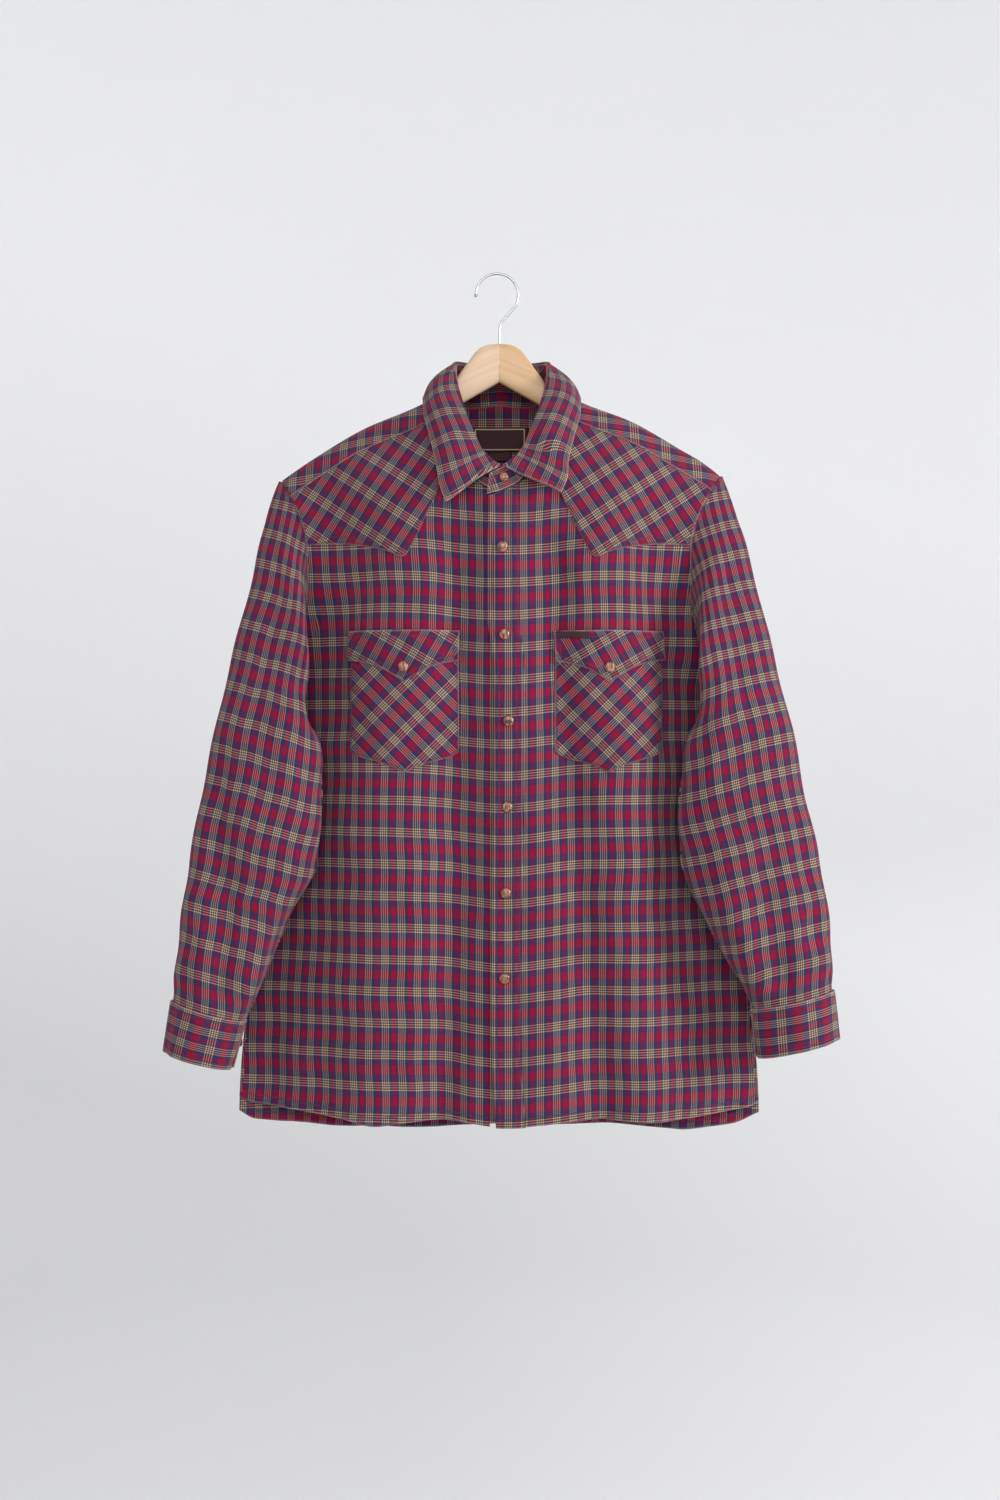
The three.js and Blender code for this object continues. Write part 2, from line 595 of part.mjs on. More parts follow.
for (const hand of ['left', 'right']) {
  const facing = hand === 'left' ? -1 : 1;
  tube('sleeve_' + hand, check(), (u, v) => sleevePoint(hand, u, v), { round: 20, along: 20, facing });
  const cuff = (u, v) => {
    const turn = CUFF_SPLIT - u * (1 + CUFF_ROUND);
    const lapping = ease((u - 1 + 2 * CUFF_ROUND) / CUFF_ROUND);
    return cuffPoint(hand, turn, v, CUFF_LIFT + lapping * (STIFF + CUFF_GAP));
  };
  wall('cuff_' + hand, check(), cuff, { across: 22, down: 2, thick: STIFF, facing: -facing });
}

// Bands and patches on the front. Each lies on the panels' own surface, moved out by
// what is under it.
function onFront(x, z, lift) {
  const spot = onPanel('front', x, z);
  const slopeX = (panelDepth('front', x + 2, z) - panelDepth('front', x - 2, z)) / 4;
  const slopeZ = (panelDepth('front', x, z + 2) - panelDepth('front', x, z - 2)) / 4;
  const out = new THREE.Vector3(slopeX, -1, slopeZ).normalize();
  return spot.addScaledVector(out, lift);
}

// The placket's free edge wanders a little on its way down.
const PLACKET_EDGE = reader(
  [
    { z: -930, x: -3 },
    { z: -860, x: -7.5 },
    { z: -790, x: -8.5 },
    { z: -480, x: -4.5 },
    { z: -430, x: -5.5 },
    { z: -380, x: -10.5 },
    { z: -250, x: -11 },
  ],
  'z',
  'x',
);
const PLACKET_LIFT = 2.7;
const PLACKET_RISE = 14;
const placket = (u, v) => {
  const low = HEM_FRONT - 1;
  const high = PLACKET_TOP + PLACKET_RISE * u;
  const z = mix(low, high, v);
  return onFront(PLACKET_EDGE(z) + u * PLACKET_WIDTH, z, PLACKET_LIFT);
};
wall('placket_front', check(), placket, { across: 3, down: 19 });
const underPlacket = (u, v) => {
  const z = mix(HEM_FRONT, PLACKET_TOP + 3 + 4 * u, v);
  return onFront(mix(UNDER_EDGE + SEAM, UNDER_END - SEAM, u), z, 0);
};
wall('placket_under', check(), underPlacket, { across: 2, down: 19 });

// Front yokes: the lower edge falls from under the collar to a point over the pocket
// and runs level to the armhole.
const YOKE_EDGE = reader(
  [
    { out: 61, z: -226 },
    { out: 66, z: -248 },
    { out: 77, z: -271 },
    { out: 90, z: -298 },
    { out: 103, z: -316 },
    { out: 116, z: -311 },
    { out: 129, z: -307 },
    { out: 152, z: -302 },
    { out: 182, z: -299 },
    { out: 208, z: -300 },
  ],
  'out',
  'z',
);
const YOKE_LAID = [62.5, 64, 77, 90, 103, 116, 129, 142, 155, 168, 182, 195, 209, 225];
const PATCH_LIFT = CLOTH + LAID_ON;
const YOKE_LIFT = { left: CLOTH + 0.3, right: PATCH_LIFT };
for (const [hand, sign] of [['left', -1], ['right', 1]]) {
  const last = YOKE_LAID.length - 1;
  const place = (u, v) => {
    const spot = u * last;
    const i = Math.min(last - 1, Math.floor(spot));
    const out = mix(YOKE_LAID[i], YOKE_LAID[i + 1], spot - i);
    const high = Math.min(yokeSeam(sign * out), NECK(out)) - 1.5;
    const z = mix(YOKE_EDGE(out), high, v);
    const share = Math.max(0, (out - FREE) / (SHOULDER_EDGE - FREE));
    const x = sign * (out > FREE ? mix(FREE, panelEdge(z) - 1, share) : out);
    return onFront(x, z, YOKE_LIFT[hand]);
  };
  wall('yoke_front_' + hand, check(), place, { across: last, down: 7 });
}

// Chest pockets and their flaps, by the distance from the pocket's middle line.
const POCKETS = {
  left: { middle: -101.5, half: 58.5, tilt: 0 },
  right: { middle: 118.5, half: 58.5, tilt: 0.01 },
};
const POCKET_TOP = -404;
const POCKET_LOW = reader(
  [
    { out: 0, z: -547 },
    { out: 0.22, z: -540.5 },
    { out: 0.5, z: -535 },
    { out: 0.8, z: -530.5 },
    { out: 1, z: -524.5 },
  ],
  'out',
  'z',
);
const FLAP_TOP = -393.5;
const FLAP_LOW = reader(
  [
    { out: 0, z: -450 },
    { out: 0.22, z: -441 },
    { out: 0.45, z: -433 },
    { out: 0.7, z: -428.5 },
    { out: 1, z: -426 },
  ],
  'out',
  'z',
);
const FLAP_LIFT = PATCH_LIFT + CLOTH + 0.6;
const FLAP_SNAP_Z = -433;
// A patch has its own side edges and middle, and the panel's fold lines between them.
function patch(name, hand, { high, lowEdge, lift, wider, rows }) {
  const { middle, half, tilt } = POCKETS[hand];
  const start = middle - half - wider;
  const end = middle + half + wider;
  const inside = COLUMNS.filter((x) => x > start + 2 && x < end - 2 && Math.abs(x - middle) > 2);
  const lines = [start, ...inside, middle, end].sort((a, b) => a - b);
  const last = lines.length - 1;
  const place = (u, v) => {
    const i = Math.min(last - 1, Math.floor(u * last));
    const x = mix(lines[i], lines[i + 1], u * last - i);
    const low = lowEdge(Math.abs(x - middle) / (half + wider));
    return onFront(x, mix(low, high, v) + tilt * (x - middle), lift);
  };
  wall(name, check(), place, { across: last, down: rows });
}
for (const hand of ['left', 'right']) {
  const pocket = { high: POCKET_TOP, lowEdge: POCKET_LOW, lift: PATCH_LIFT, wider: 0, rows: 6 };
  const flap = { high: FLAP_TOP, lowEdge: FLAP_LOW, lift: FLAP_LIFT, wider: 1, rows: 2 };
  patch('pocket_' + hand, hand, pocket);
  patch('flap_' + hand, hand, flap);
}

// The woven tab at the top of the right-hand flap.
const TAB = { x: 79.5, z: -398, wide: 36, high: 7 };
const TAB_THICK = 0.8;
const tab = (u, v) =>
  onFront(TAB.x + (u - 0.5) * TAB.wide, TAB.z + (v - 0.5) * TAB.high, FLAP_LIFT + TAB_THICK + 0.5);
wall('pocket_tab', maroon(), tab, { across: 3, down: 1, thick: TAB_THICK });

// The collar's stand rises from the neck seam to the fold line. Rows run from the
// middle of the back to the front end, for one half.
const COLLAR_MIDDLE = 3;
const STAND = readers(
  [
    { at: 0, x: 0, y: 33.5, z: -137, foldX: 0, foldY: 28, foldZ: -96 },
    { at: 0.14, x: 31, y: 31.5, z: -133.5, foldX: 27, foldY: 26, foldZ: -95 },
    { at: 0.24, x: 51, y: 20, z: -128, foldX: 44, foldY: 18, foldZ: -94.5 },
    { at: 0.33, x: 61, y: 3, z: -124.5, foldX: 51, foldY: 4, foldZ: -98 },
    { at: 0.42, x: 61, y: -19, z: -137, foldX: 50, foldY: -11, foldZ: -113 },
    { at: 0.52, x: 56, y: -38, z: -153, foldX: 45, foldY: -28, foldZ: -136 },
    { at: 0.68, x: 46, y: -64.5, z: -190, foldX: 35, foldY: -53, foldZ: -169 },
    { at: 0.84, x: 25, y: -78.5, z: -233, foldX: 19, foldY: -72, foldZ: -206 },
    { at: 0.95, x: 8, y: -83.5, z: -244.5, foldX: 4, foldY: -80, foldZ: -220 },
    { at: 1.09, x: -13, y: -85, z: -251.5, foldX: -13, foldY: -83, foldZ: -229 },
  ],
  'at',
);
// The right-hand end laps over the left-hand one.
const STAND_ENDS = { left: 0.96, right: 1.09 };
const LAP_LIFT = 3.2;
const lapLift = (at) => LAP_LIFT * ease((at - 0.76) / 0.14);
function standPoint(signed, v) {
  const sign = Math.sign(signed) || 1;
  const at = Math.abs(signed);
  const lapping = sign > 0 ? lapLift(at) : 0;
  const x = sign * mix(STAND.x(at), STAND.foldX(at), v) + COLLAR_MIDDLE * v;
  const y = mix(STAND.y(at), STAND.foldY(at), v) - lapping;
  return new THREE.Vector3(x, y, mix(STAND.z(at), STAND.foldZ(at), v) + SEAM);
}
const stand = (u, v) => standPoint(mix(-STAND_ENDS.left, STAND_ENDS.right, u), v);
wall('collar_stand', check(), stand, { across: 32, down: 2, thick: STIFF, facing: -1 });

// The fall turns over at the fold line and lies on the shoulders down to its points.
const FALL = readers(
  [
    { at: 0, x: 0, y: 41, z: -147, roll: 5 },
    { at: 0.14, x: 38, y: 38, z: -145, roll: 5 },
    { at: 0.24, x: 66, y: 23, z: -138, roll: 5 },
    { at: 0.33, x: 84, y: 1, z: -136, roll: 6 },
    { at: 0.42, x: 83, y: -33, z: -158, roll: 7 },
    { at: 0.52, x: 78, y: -56, z: -184, roll: 8 },
    { at: 0.68, x: 72, y: -74, z: -212, roll: 8 },
    { at: 0.84, x: 67, y: -86, z: -238, roll: 6 },
    { at: 0.97, x: 61, y: -93, z: -256, roll: 3 },
  ],
  'at',
);
const FALL_END = 0.97;
const FALL_GAP = 3.2;
// The right-hand point sits a little higher and further out than the left-hand one.
const POINT_SHIFT = { x: 2, z: 5 };
function fallPoint(signed, v) {
  const sign = Math.sign(signed) || 1;
  const at = Math.abs(signed);
  const fold = new THREE.Vector3(sign * STAND.foldX(at), STAND.foldY(at), STAND.foldZ(at));
  const edge = new THREE.Vector3(sign * FALL.x(at), FALL.y(at), FALL.z(at));
  const outwards = outward((u, w) => standPoint(signed + (u - 0.5) * 0.1, w), 0.5, 0.5, -1);
  const lifted = FALL_GAP + FALL.roll(at) * Math.sin(Math.PI * v);
  fold.lerp(edge, v).addScaledVector(outwards, lifted);
  const toPoint = ease((v - 0.2) / 0.8) * ease((at - 0.6) / 0.37);
  fold.x += COLLAR_MIDDLE + POINT_SHIFT.x * toPoint;
  fold.y -= sign > 0 ? lapLift(at) * (1 - v) : 0;
  fold.z += sign * POINT_SHIFT.z * toPoint;
  return fold;
}
const fall = (u, v) => fallPoint(mix(-FALL_END, FALL_END, u), 1 - v);
wall('collar_fall', check(), fall, { across: 30, down: 4, thick: STIFF, facing: -1 });

// Labels inside the back of the neck, on the inner face of the yoke.
const LABEL = { middle: 1, top: -163, wide: 59, high: 27 };
const SIZE_TAB = { middle: 1, top: -190.6, wide: 26, high: 10 };
const LABEL_GAP = CLOTH + 0.7;
function neckLabel(name, { middle, top, wide, high }, gap) {
  const place = (u, v) => {
    const x = middle + (u - 0.5) * wide;
    const z = top - (1 - v) * high;
    return new THREE.Vector3(x, depthAt('back', x, z) - gap, z);
  };
  wall(name, maroon(), place, { across: 4, down: 2, thick: TAB_THICK, lift: TAB_THICK });
}
neckLabel('neck_label', LABEL, LABEL_GAP);
neckLabel('size_tab', SIZE_TAB, LABEL_GAP);

// Snaps: a rim with a domed cap, set square to the cloth under them.
function snap(name, spot, facing, radius = SNAP_RADIUS) {
  const profile = [
    new THREE.Vector2(0, 0),
    new THREE.Vector2(radius * 0.82, 0),
    new THREE.Vector2(radius, 0.9),
    new THREE.Vector2(radius * 0.9, 2.2),
    new THREE.Vector2(radius * 0.6, SNAP_HEIGHT),
    new THREE.Vector2(0, SNAP_HEIGHT + 0.4),
  ];
  const lathe = new THREE.LatheGeometry(profile, 10);
  const turn = new THREE.Quaternion().setFromUnitVectors(new THREE.Vector3(0, 1, 0), facing);
  return closed(lathe, name, horn(), (at) => at.applyQuaternion(turn).add(spot));
}
function frontFacing(x, z) {
  const along = onFront(x + 5, z, 0).sub(onFront(x - 5, z, 0));
  const up = onFront(x, z + 5, 0).sub(onFront(x, z - 5, 0));
  return along.cross(up).normalize();
}
for (let i = 0; i < SNAPS_DOWN; i += 1) {
  const z = SNAP_FIRST - i * SNAP_PITCH;
  const x = PLACKET_EDGE(z) + PLACKET_WIDTH * 0.46;
  snap('snap_placket_' + (i + 1), onFront(x, z, PLACKET_LIFT + 0.35), frontFacing(x, z));
}
for (const hand of ['left', 'right']) {
  const x = POCKETS[hand].middle;
  snap('snap_flap_' + hand, onFront(x, FLAP_SNAP_Z, FLAP_LIFT + 0.5), frontFacing(x, FLAP_SNAP_Z));
}
const STAND_SNAP_AT = 0.965;
const standOut = outward((u, v) => standPoint(mix(0.9, 1.04, u), v), 0.5, 0.5, -1);
snap('snap_stand', standPoint(STAND_SNAP_AT, 0.5).addScaledVector(standOut, 0.5), standOut, 5);

for (const hand of ['left', 'right']) {
  const facing = hand === 'left' ? 1 : -1;
  const lapped = (u, v) => cuffPoint(hand, CUFF_SPLIT - 0.075 + u * 0.05, v, CUFF_LIFT + STIFF + CUFF_GAP);
  const out = outward(lapped, 0.5, 0.5, -facing);
  snap('snap_cuff_' + hand, lapped(0.5, 0.5).addScaledVector(out, 0.4), out, CUFF_SNAP_RADIUS);
}

// The short placket over the sleeve's slit, at the back above the cuff.
const SLIT = { turn: 0.64, wide: 0.08, from: 0.8, to: 0.985 };
const SLIT_LIFT = CLOTH + 1.1;
for (const hand of ['left', 'right']) {
  const facing = hand === 'left' ? -1 : 1;
  const place = (u, v) => sleevePoint(hand, SLIT.turn + (u - 0.5) * SLIT.wide, mix(SLIT.from, SLIT.to, v));
  wall('sleeve_placket_' + hand, check(), place, { across: 2, down: 6, facing, lift: SLIT_LIFT });
}

// The hanger: two glued halves that meet in the middle under the hook.
const ARM = [
  { x: 0.2, top: -76, low: -118.5 },
  { x: 9, top: -76.5, low: -123.5 },
  { x: 17, top: -78.5, low: -128 },
  { x: 25, top: -84, low: -132.5 },
  { x: 32, top: -93, low: -136.5 },
  { x: 39, top: -103, low: -140.5 },
  { x: 48, top: -115, low: -146 },
  { x: 58, top: -131, low: -153 },
  { x: 68, top: -137, low: -160 },
];
const ARM_TIP = 212;
const ARM_STATIONS = [95, 125, 155, 183, 203, ARM_TIP];
const ARM_GAP = CLOTH + 1.2;
function hangerHalf(name, sign, color) {
  const rows = ARM.concat(
    ARM_STATIONS.map((x) => {
      const top = RIDGE(sign * x) - ARM_GAP - 3 * ease((x - 150) / 50);
      const deep = mix(24, 17, (x - 95) / (ARM_TIP - 95));
      return { x, top, low: top - deep };
    }),
  );
  const bar = new THREE.CylinderGeometry(1, 1, 1, 12, rows.length - 1);
  closed(bar, name, wood(color), (at) => {
    const spot = (at.y + 0.5) * (rows.length - 1);
    const row = rows[Math.min(rows.length - 1, Math.max(0, Math.round(spot)))];
    const square = (value) => Math.sign(value) * Math.abs(value) ** 0.55;
    const tall = (row.top - row.low) / 2;
    const narrow = 1 - 0.35 * ease((row.x - 190) / (ARM_TIP - 190));
    at.set(sign * row.x, ARM_THICK * narrow * square(at.x), row.low + tall + tall * square(at.z));
  });
}
hangerHalf('hanger_left', -1, 0xd9b48a);
hangerHalf('hanger_right', 1, 0xcfa06d);

// The hook: a straight stem, an offset, and a round bend whose inside top is the origin.
const WIRE = 1.35;
const HOOK_RADIUS = 21.9;
const HOOK_CENTRE = { x: -2.2, z: -HOOK_RADIUS };
const arcPoint = (degrees) => {
  const angle = (degrees * Math.PI) / 180;
  const reach = HOOK_RADIUS + WIRE;
  return new THREE.Vector3(HOOK_CENTRE.x + reach * Math.cos(angle), 0, HOOK_CENTRE.z + reach * Math.sin(angle));
};
const hookPoints = [
  new THREE.Vector3(0.6, 0, -75.5),
  new THREE.Vector3(0.7, 0, -62),
  new THREE.Vector3(1.9, 0, -53.5),
  new THREE.Vector3(6, 0, -48),
  new THREE.Vector3(12, 0, -41.5),
  new THREE.Vector3(17.6, 0, -35),
].concat([-12, 8, 28, 48, 68, 88, 108, 128, 148, 168, 181].map(arcPoint));
const hookLine = new THREE.CatmullRomCurve3(hookPoints, false, 'centripetal');
const HOOK_STEPS = 36;
const wire = new THREE.CylinderGeometry(1, 1, 1, 8, HOOK_STEPS);
closed(wire, 'hook', chrome(), (at) => {
  const t = at.y + 0.5;
  const spot = hookLine.getPointAt(t);
  const along = hookLine.getTangentAt(t);
  const side = new THREE.Vector3(-along.z, 0, along.x);
  const bead = 1 + 0.55 * Math.exp(-(((t - 0.985) / 0.012) ** 2));
  const across = new THREE.Vector3(at.x, at.z, 0);
  at.copy(spot).addScaledVector(side, across.x * WIRE * bead);
  at.y += across.y * WIRE * bead;
});

export default shirt;
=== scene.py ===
# %% [markdown]
# # A snap shirt on a wooden hanger
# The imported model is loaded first. It is a fixed frame: every piece made here stands
# for one of its nodes and stays where that node is, so that the two never drift apart.

import math

import bmesh
import bpy
import numpy as np
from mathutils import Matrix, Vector


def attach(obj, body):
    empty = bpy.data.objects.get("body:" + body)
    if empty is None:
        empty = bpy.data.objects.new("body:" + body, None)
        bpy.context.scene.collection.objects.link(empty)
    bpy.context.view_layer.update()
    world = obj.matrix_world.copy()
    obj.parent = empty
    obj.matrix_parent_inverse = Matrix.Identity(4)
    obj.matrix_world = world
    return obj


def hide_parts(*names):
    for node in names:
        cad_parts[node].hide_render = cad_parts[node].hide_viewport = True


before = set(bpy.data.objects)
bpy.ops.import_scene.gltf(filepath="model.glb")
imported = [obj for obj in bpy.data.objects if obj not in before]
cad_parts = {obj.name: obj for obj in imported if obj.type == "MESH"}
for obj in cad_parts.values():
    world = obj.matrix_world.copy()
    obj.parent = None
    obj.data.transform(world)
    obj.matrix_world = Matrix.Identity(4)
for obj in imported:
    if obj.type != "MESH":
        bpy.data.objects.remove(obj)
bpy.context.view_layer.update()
MM = 0.001
print("nodes:", len(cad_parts))

# %% [markdown]
# The camera comes early, because it settles what has to look right. The whole frame is
# 1.65 m high at the shirt, seen square on from 2.29 m with a 50 mm lens.

# %% Camera
CAMERA_PLACE = (0.0011, -2.2917, -0.5225)
camera_data = bpy.data.cameras.new("camera")
camera_data.lens = 50
camera_data.sensor_fit = "VERTICAL"
camera_data.sensor_height = 36
camera = bpy.data.objects.new("camera", camera_data)
camera.location = CAMERA_PLACE
camera.rotation_euler = (math.radians(90), 0, 0)
bpy.context.collection.objects.link(camera)
bpy.context.scene.camera = camera
print("camera at", CAMERA_PLACE)

# %% [markdown]
# ## Reading shapes from short tables
# A shirt is drafted from a few measurements at named heights, and the curve between two
# of them is drawn fair. Here a table does that: its first column says where, and each of
# the others is read smoothly between its rows. The curve never overshoots a row, which
# keeps a shoulder from growing a hump that nobody drew.


# %% Tables and small helpers
def curve(at, value):
    pitch = np.diff(value) / np.diff(at)
    both = pitch[:-1] * pitch[1:]
    total = np.where(both > 0, pitch[:-1] + pitch[1:], 1)
    inner = np.where(both > 0, 2 * both / total, 0)
    slope = np.concatenate([pitch[:1], inner, pitch[-1:]])

    def read(wanted):
        wanted = np.clip(wanted, at[0], at[-1])
        i = np.clip(np.searchsorted(at, wanted) - 1, 0, len(at) - 2)
        span = at[i + 1] - at[i]
        t = (wanted - at[i]) / span
        rest = 1 - t
        ends = value[i] * (1 + 2 * t) * rest**2 + value[i + 1] * t**2 * (3 - 2 * t)
        return ends + span * t * rest * (slope[i] * rest - slope[i + 1] * t)

    return read


def table(columns, rows):
    data = np.array(rows, dtype=float)
    names = columns.split()
    return {name: curve(data[:, 0], data[:, i]) for i, name in enumerate(names) if i}


def mix(a, b, t):
    return a + (b - a) * t


def ease(t):
    t = np.clip(t, 0, 1)
    return t * t * (3 - 2 * t)


def bell(t):
    return np.exp(-t * t)


def points(x, y, z):
    return np.stack(np.broadcast_arrays(x, y, z), axis=-1).astype(float)


print("a fair curve half way:", float(curve(np.array([0.0, 1, 2]), np.array([0.0, 1, 1]))(0.5)))

# %% [markdown]
# ## The form of the body
# The shirt hangs from the ridge of the hanger. In front it falls forward to the chest
# and then a little back, behind it drops straight. Three tables say that: the ridge, the
# section over a shoulder, and the depth of front and back at each height. All sizes are
# in millimetres, as on a pattern.

# %% Ridge, section and depth
RIDGE = table(
    "x z",
    [
        (-247, -235), (-232, -223.5), (-199, -201), (-148, -171), (-83, -143), (-62, -128.5),
        (0, -96), (64, -126.5), (89, -141.2), (144, -162.5), (200, -194), (222, -207),
        (244, -224.5), (253, -235),
    ],
)["z"]
SHOULDER = table(
    "down front back",
    [
        (0, 0, 0),
        (1.5, 0.11, 0.24),
        (7, 0.2, 0.44),
        (15, 0.27, 0.58),
        (26, 0.36, 0.71),
        (44, 0.5, 0.84),
        (66, 0.65, 0.93),
        (112, 0.85, 1),
        (151, 0.93, 1),
        (210, 1, 1),
    ],
)
REACH = table(
    "out reach", [(0, 1), (100, 0.9), (160, 0.7), (200, 0.48), (225, 0.34), (250, 0.28)]
)["reach"]
BODY = table(
    "z side front front_edge back back_edge",
    [
        (-960, 289, -40, 13, 27, 16.7),
        (-880, 286, -42, 13, 28, 16.7),
        (-750, 272, -47, 13, 31, 16.7),
        (-600, 255, -52, 12, 34, 15.7),
        (-500, 245, -57, 9, 36, 12.7),
        (-457, 240, -60, 7, 36, 11.6),
        (-430, 229, -62, 2, 37, 16),
        (-400, 217, -65, -6, 37, 21),
        (-350, 208, -71, -17, 38, 25),
        (-300, 208, -77, -25, 38, 26),
        (-275, 213, -82, -28, 37, 25),
        (-248, 225, -84, -30, 36, 24),
        (-236, 233, -84, -30, 35, 23),
        (-224, 241, -84, -30, 35, 22),
    ],
)
ACROSS = table(
    "out front back",
    [
        (0, 1, 1),
        (0.3, 0.985, 1),
        (0.5, 0.89, 0.98),
        (0.6, 0.76, 0.95),
        (0.7, 0.52, 0.88),
        (0.8, 0.24, 0.72),
        (0.9, 0.06, 0.4),
        (1, 0, 0),
    ],
)
print("chest width:", 2 * float(BODY["side"](-457)))

# %% [markdown]
# Cloth that hangs free falls into a few long folds. Each is a line of travel from its top
# to its foot with a width and a depth, soft like a bell across it. The deep ones are in
# the solids too; the shallow creases after them are only worth having here.

# %% Folds
FOLD = "top_z top_x mid_x low_x low_z wide deep".split()
FRONT_FOLDS = [
    (-235, -46, -38, -64, -980, 25, 10),
    (-225, 50, 74, 118, -980, 27, 10),
    (-420, -118, -130, -142, -980, 34, -5),
    (-420, 142, 150, 170, -980, 34, -5),
    (-330, -172, -170, -166, -560, 17, 4),
    (-180, 152, 160, 170, -380, 17, 5),
    (-215, -186, -188, -192, -330, 15, 4),
    (-700, -222, -226, -232, -980, 24, -4),
    (-700, 214, 222, 230, -980, 26, -4),
]
FRONT_CREASES = [
    (-560, -92, -86, -96, -990, 12, -1.6),
    (-600, 66, 58, 52, -990, 14, -2.0),
    (-640, -190, -186, -196, -990, 15, 2.0),
    (-560, 196, 190, 196, -990, 15, 2.0),
    (-230, -128, -140, -158, -400, 9, 1.6),
    (-226, 118, 134, 150, -420, 9, -1.6),
    (-460, -225, -206, -186, -640, 10, 2.2),
    (-460, 226, 205, 188, -660, 10, 2.2),
    (-470, -232, -222, -214, -760, 9, -1.6),
    (-470, 234, 224, 216, -760, 9, -1.6),
    (-690, -20, -24, -30, -990, 10, -1.4),
    (-700, 34, 32, 30, -990, 9, -1.2),
    (-250, -17, -19, -23, -990, 8, 2.4),
    (-235, -46, -38, -64, -990, 20, 5),
    (-235, 50, 74, 118, -990, 21, 5),
]
BACK_FOLDS = [
    (-300, -70, -78, -96, -990, 32, -8),
    (-330, 84, 80, 66, -990, 30, -9),
    (-300, 4, -4, -14, -700, 26, -4),
    (-380, -168, -172, -182, -990, 30, -5),
    (-380, 160, 170, 184, -990, 30, -5),
]
BACK_CREASES = [
    (-330, -30, -44, -52, -760, 13, 2.4),
    (-330, 38, 30, 18, -820, 13, 2.4),
    (-420, -128, -132, -140, -990, 15, 2.6),
    (-420, 122, 124, 130, -990, 15, 2.6),
    (-450, -222, -200, -176, -640, 12, -2.2),
    (-450, 222, 200, 176, -640, 12, -2.2),
]
FOLD_FADE = 90
HEM_BACK = -938


def fold_depth(folds, x, z):
    depth = np.zeros(np.broadcast(x, z).shape)
    for row in folds:
        fold = dict(zip(FOLD, row))
        t = np.clip((fold["top_z"] - z) / (fold["top_z"] - fold["low_z"]), 0, 1)
        upper = mix(fold["top_x"], fold["mid_x"], t)
        lower = mix(fold["mid_x"], fold["low_x"], t)
        side = (x - mix(upper, lower, t)) / fold["wide"]
        held = ease((fold["top_z"] - z) / FOLD_FADE)
        if fold["low_z"] >= HEM_BACK:
            held = held * ease((z - fold["low_z"]) / FOLD_FADE + 0.01)
        depth = depth + fold["deep"] * held * bell(side)
    return depth


# %% [markdown]
# Between the folds a worn cotton shirt is never quite flat. A few long waves of different
# lengths, added up, stand for that; they use no chance, so each run gives the same cloth.

# %% Depth of the body, with its slight waviness
WAVES = [(41, 97, 0.3, 0.55), (67, -150, 1.7, 0.7), (29, 61, 2.9, 0.3), (113, 83, 4.1, 0.6)]
WAVE_SHARE = 0.6


def waviness(x, z):
    total = 0
    for along_x, along_z, phase, deep in WAVES:
        total = total + deep * np.sin(2 * np.pi * (x / along_x + z / along_z) + phase)
    return total * WAVE_SHARE


FOLDS = {"front": FRONT_FOLDS + FRONT_CREASES, "back": BACK_FOLDS + BACK_CREASES}
SEAM_MEET = 0.06  # the last share of the width, where front and back come together


def depth_at(face, x, z):
    out = np.abs(x)
    down = np.maximum(0, RIDGE(x) - z) / REACH(out)
    share_out = np.minimum(1, out / BODY["side"](z))
    share = ACROSS[face](share_out)
    front_edge = BODY["front_edge"](z)
    back_edge = BODY["back_edge"](z)
    edge = front_edge if face == "front" else back_edge
    seam = (front_edge + back_edge) / 2
    sewn = ease((share_out - 1 + SEAM_MEET) / SEAM_MEET) * ease((-450 - z) / 30)
    edge = mix(edge, seam, sewn)
    full = mix(edge, BODY[face](z), share)
    closed = SHOULDER[face](down)
    loose = closed * ease((share - 0.02) / 0.3)
    return full * closed + (fold_depth(FOLDS[face], x, z) + waviness(x, z)) * loose


SLOPE_STEP = 2


def slope_at(face, x, z, step_x, step_z):
    rise = depth_at(face, x + step_x, z + step_z) - depth_at(face, x - step_x, z - step_z)
    return rise / (2 * SLOPE_STEP)


def on_face(face, x, z, lift):
    """A point that lies off the front or the back, square to the cloth under it."""
    y = depth_at(face, x, z)
    slope_x = slope_at(face, x, z, SLOPE_STEP, 0)
    slope_z = slope_at(face, x, z, 0, SLOPE_STEP)
    way = -1 if face == "front" else 1
    out = points(-way * slope_x, way, -way * slope_z)
    out = out / np.linalg.norm(out, axis=-1, keepdims=True)
    return points(x, y, z) + out * np.asarray(lift)[..., None]


print("depth at the middle of the chest:", round(float(depth_at("front", 0.0, -400.0)), 1))

# %% [markdown]
# ## Shader maths as expressions
# A check is arithmetic on two cloth coordinates, so it reads best as arithmetic. This
# small class wraps a socket and turns +, -, * and / into Math nodes; every other node
# comes from one method that takes its type, its settings and its inputs.


# %% Sockets that add up
class Value:
    def __init__(self, kit, socket):
        self.kit = kit
        self.socket = socket

    def math(self, operation, *others):
        return self.kit.math(operation, self, *others)

    def __add__(self, other):
        return self.math("ADD", other)

    __radd__ = __add__

    def __sub__(self, other):
        return self.math("SUBTRACT", other)

    def __rsub__(self, other):
        return self.kit.math("SUBTRACT", other, self)

    def __mul__(self, other):
        return self.math("MULTIPLY", other)

    __rmul__ = __mul__

    def __truediv__(self, other):
        return self.math("DIVIDE", other)


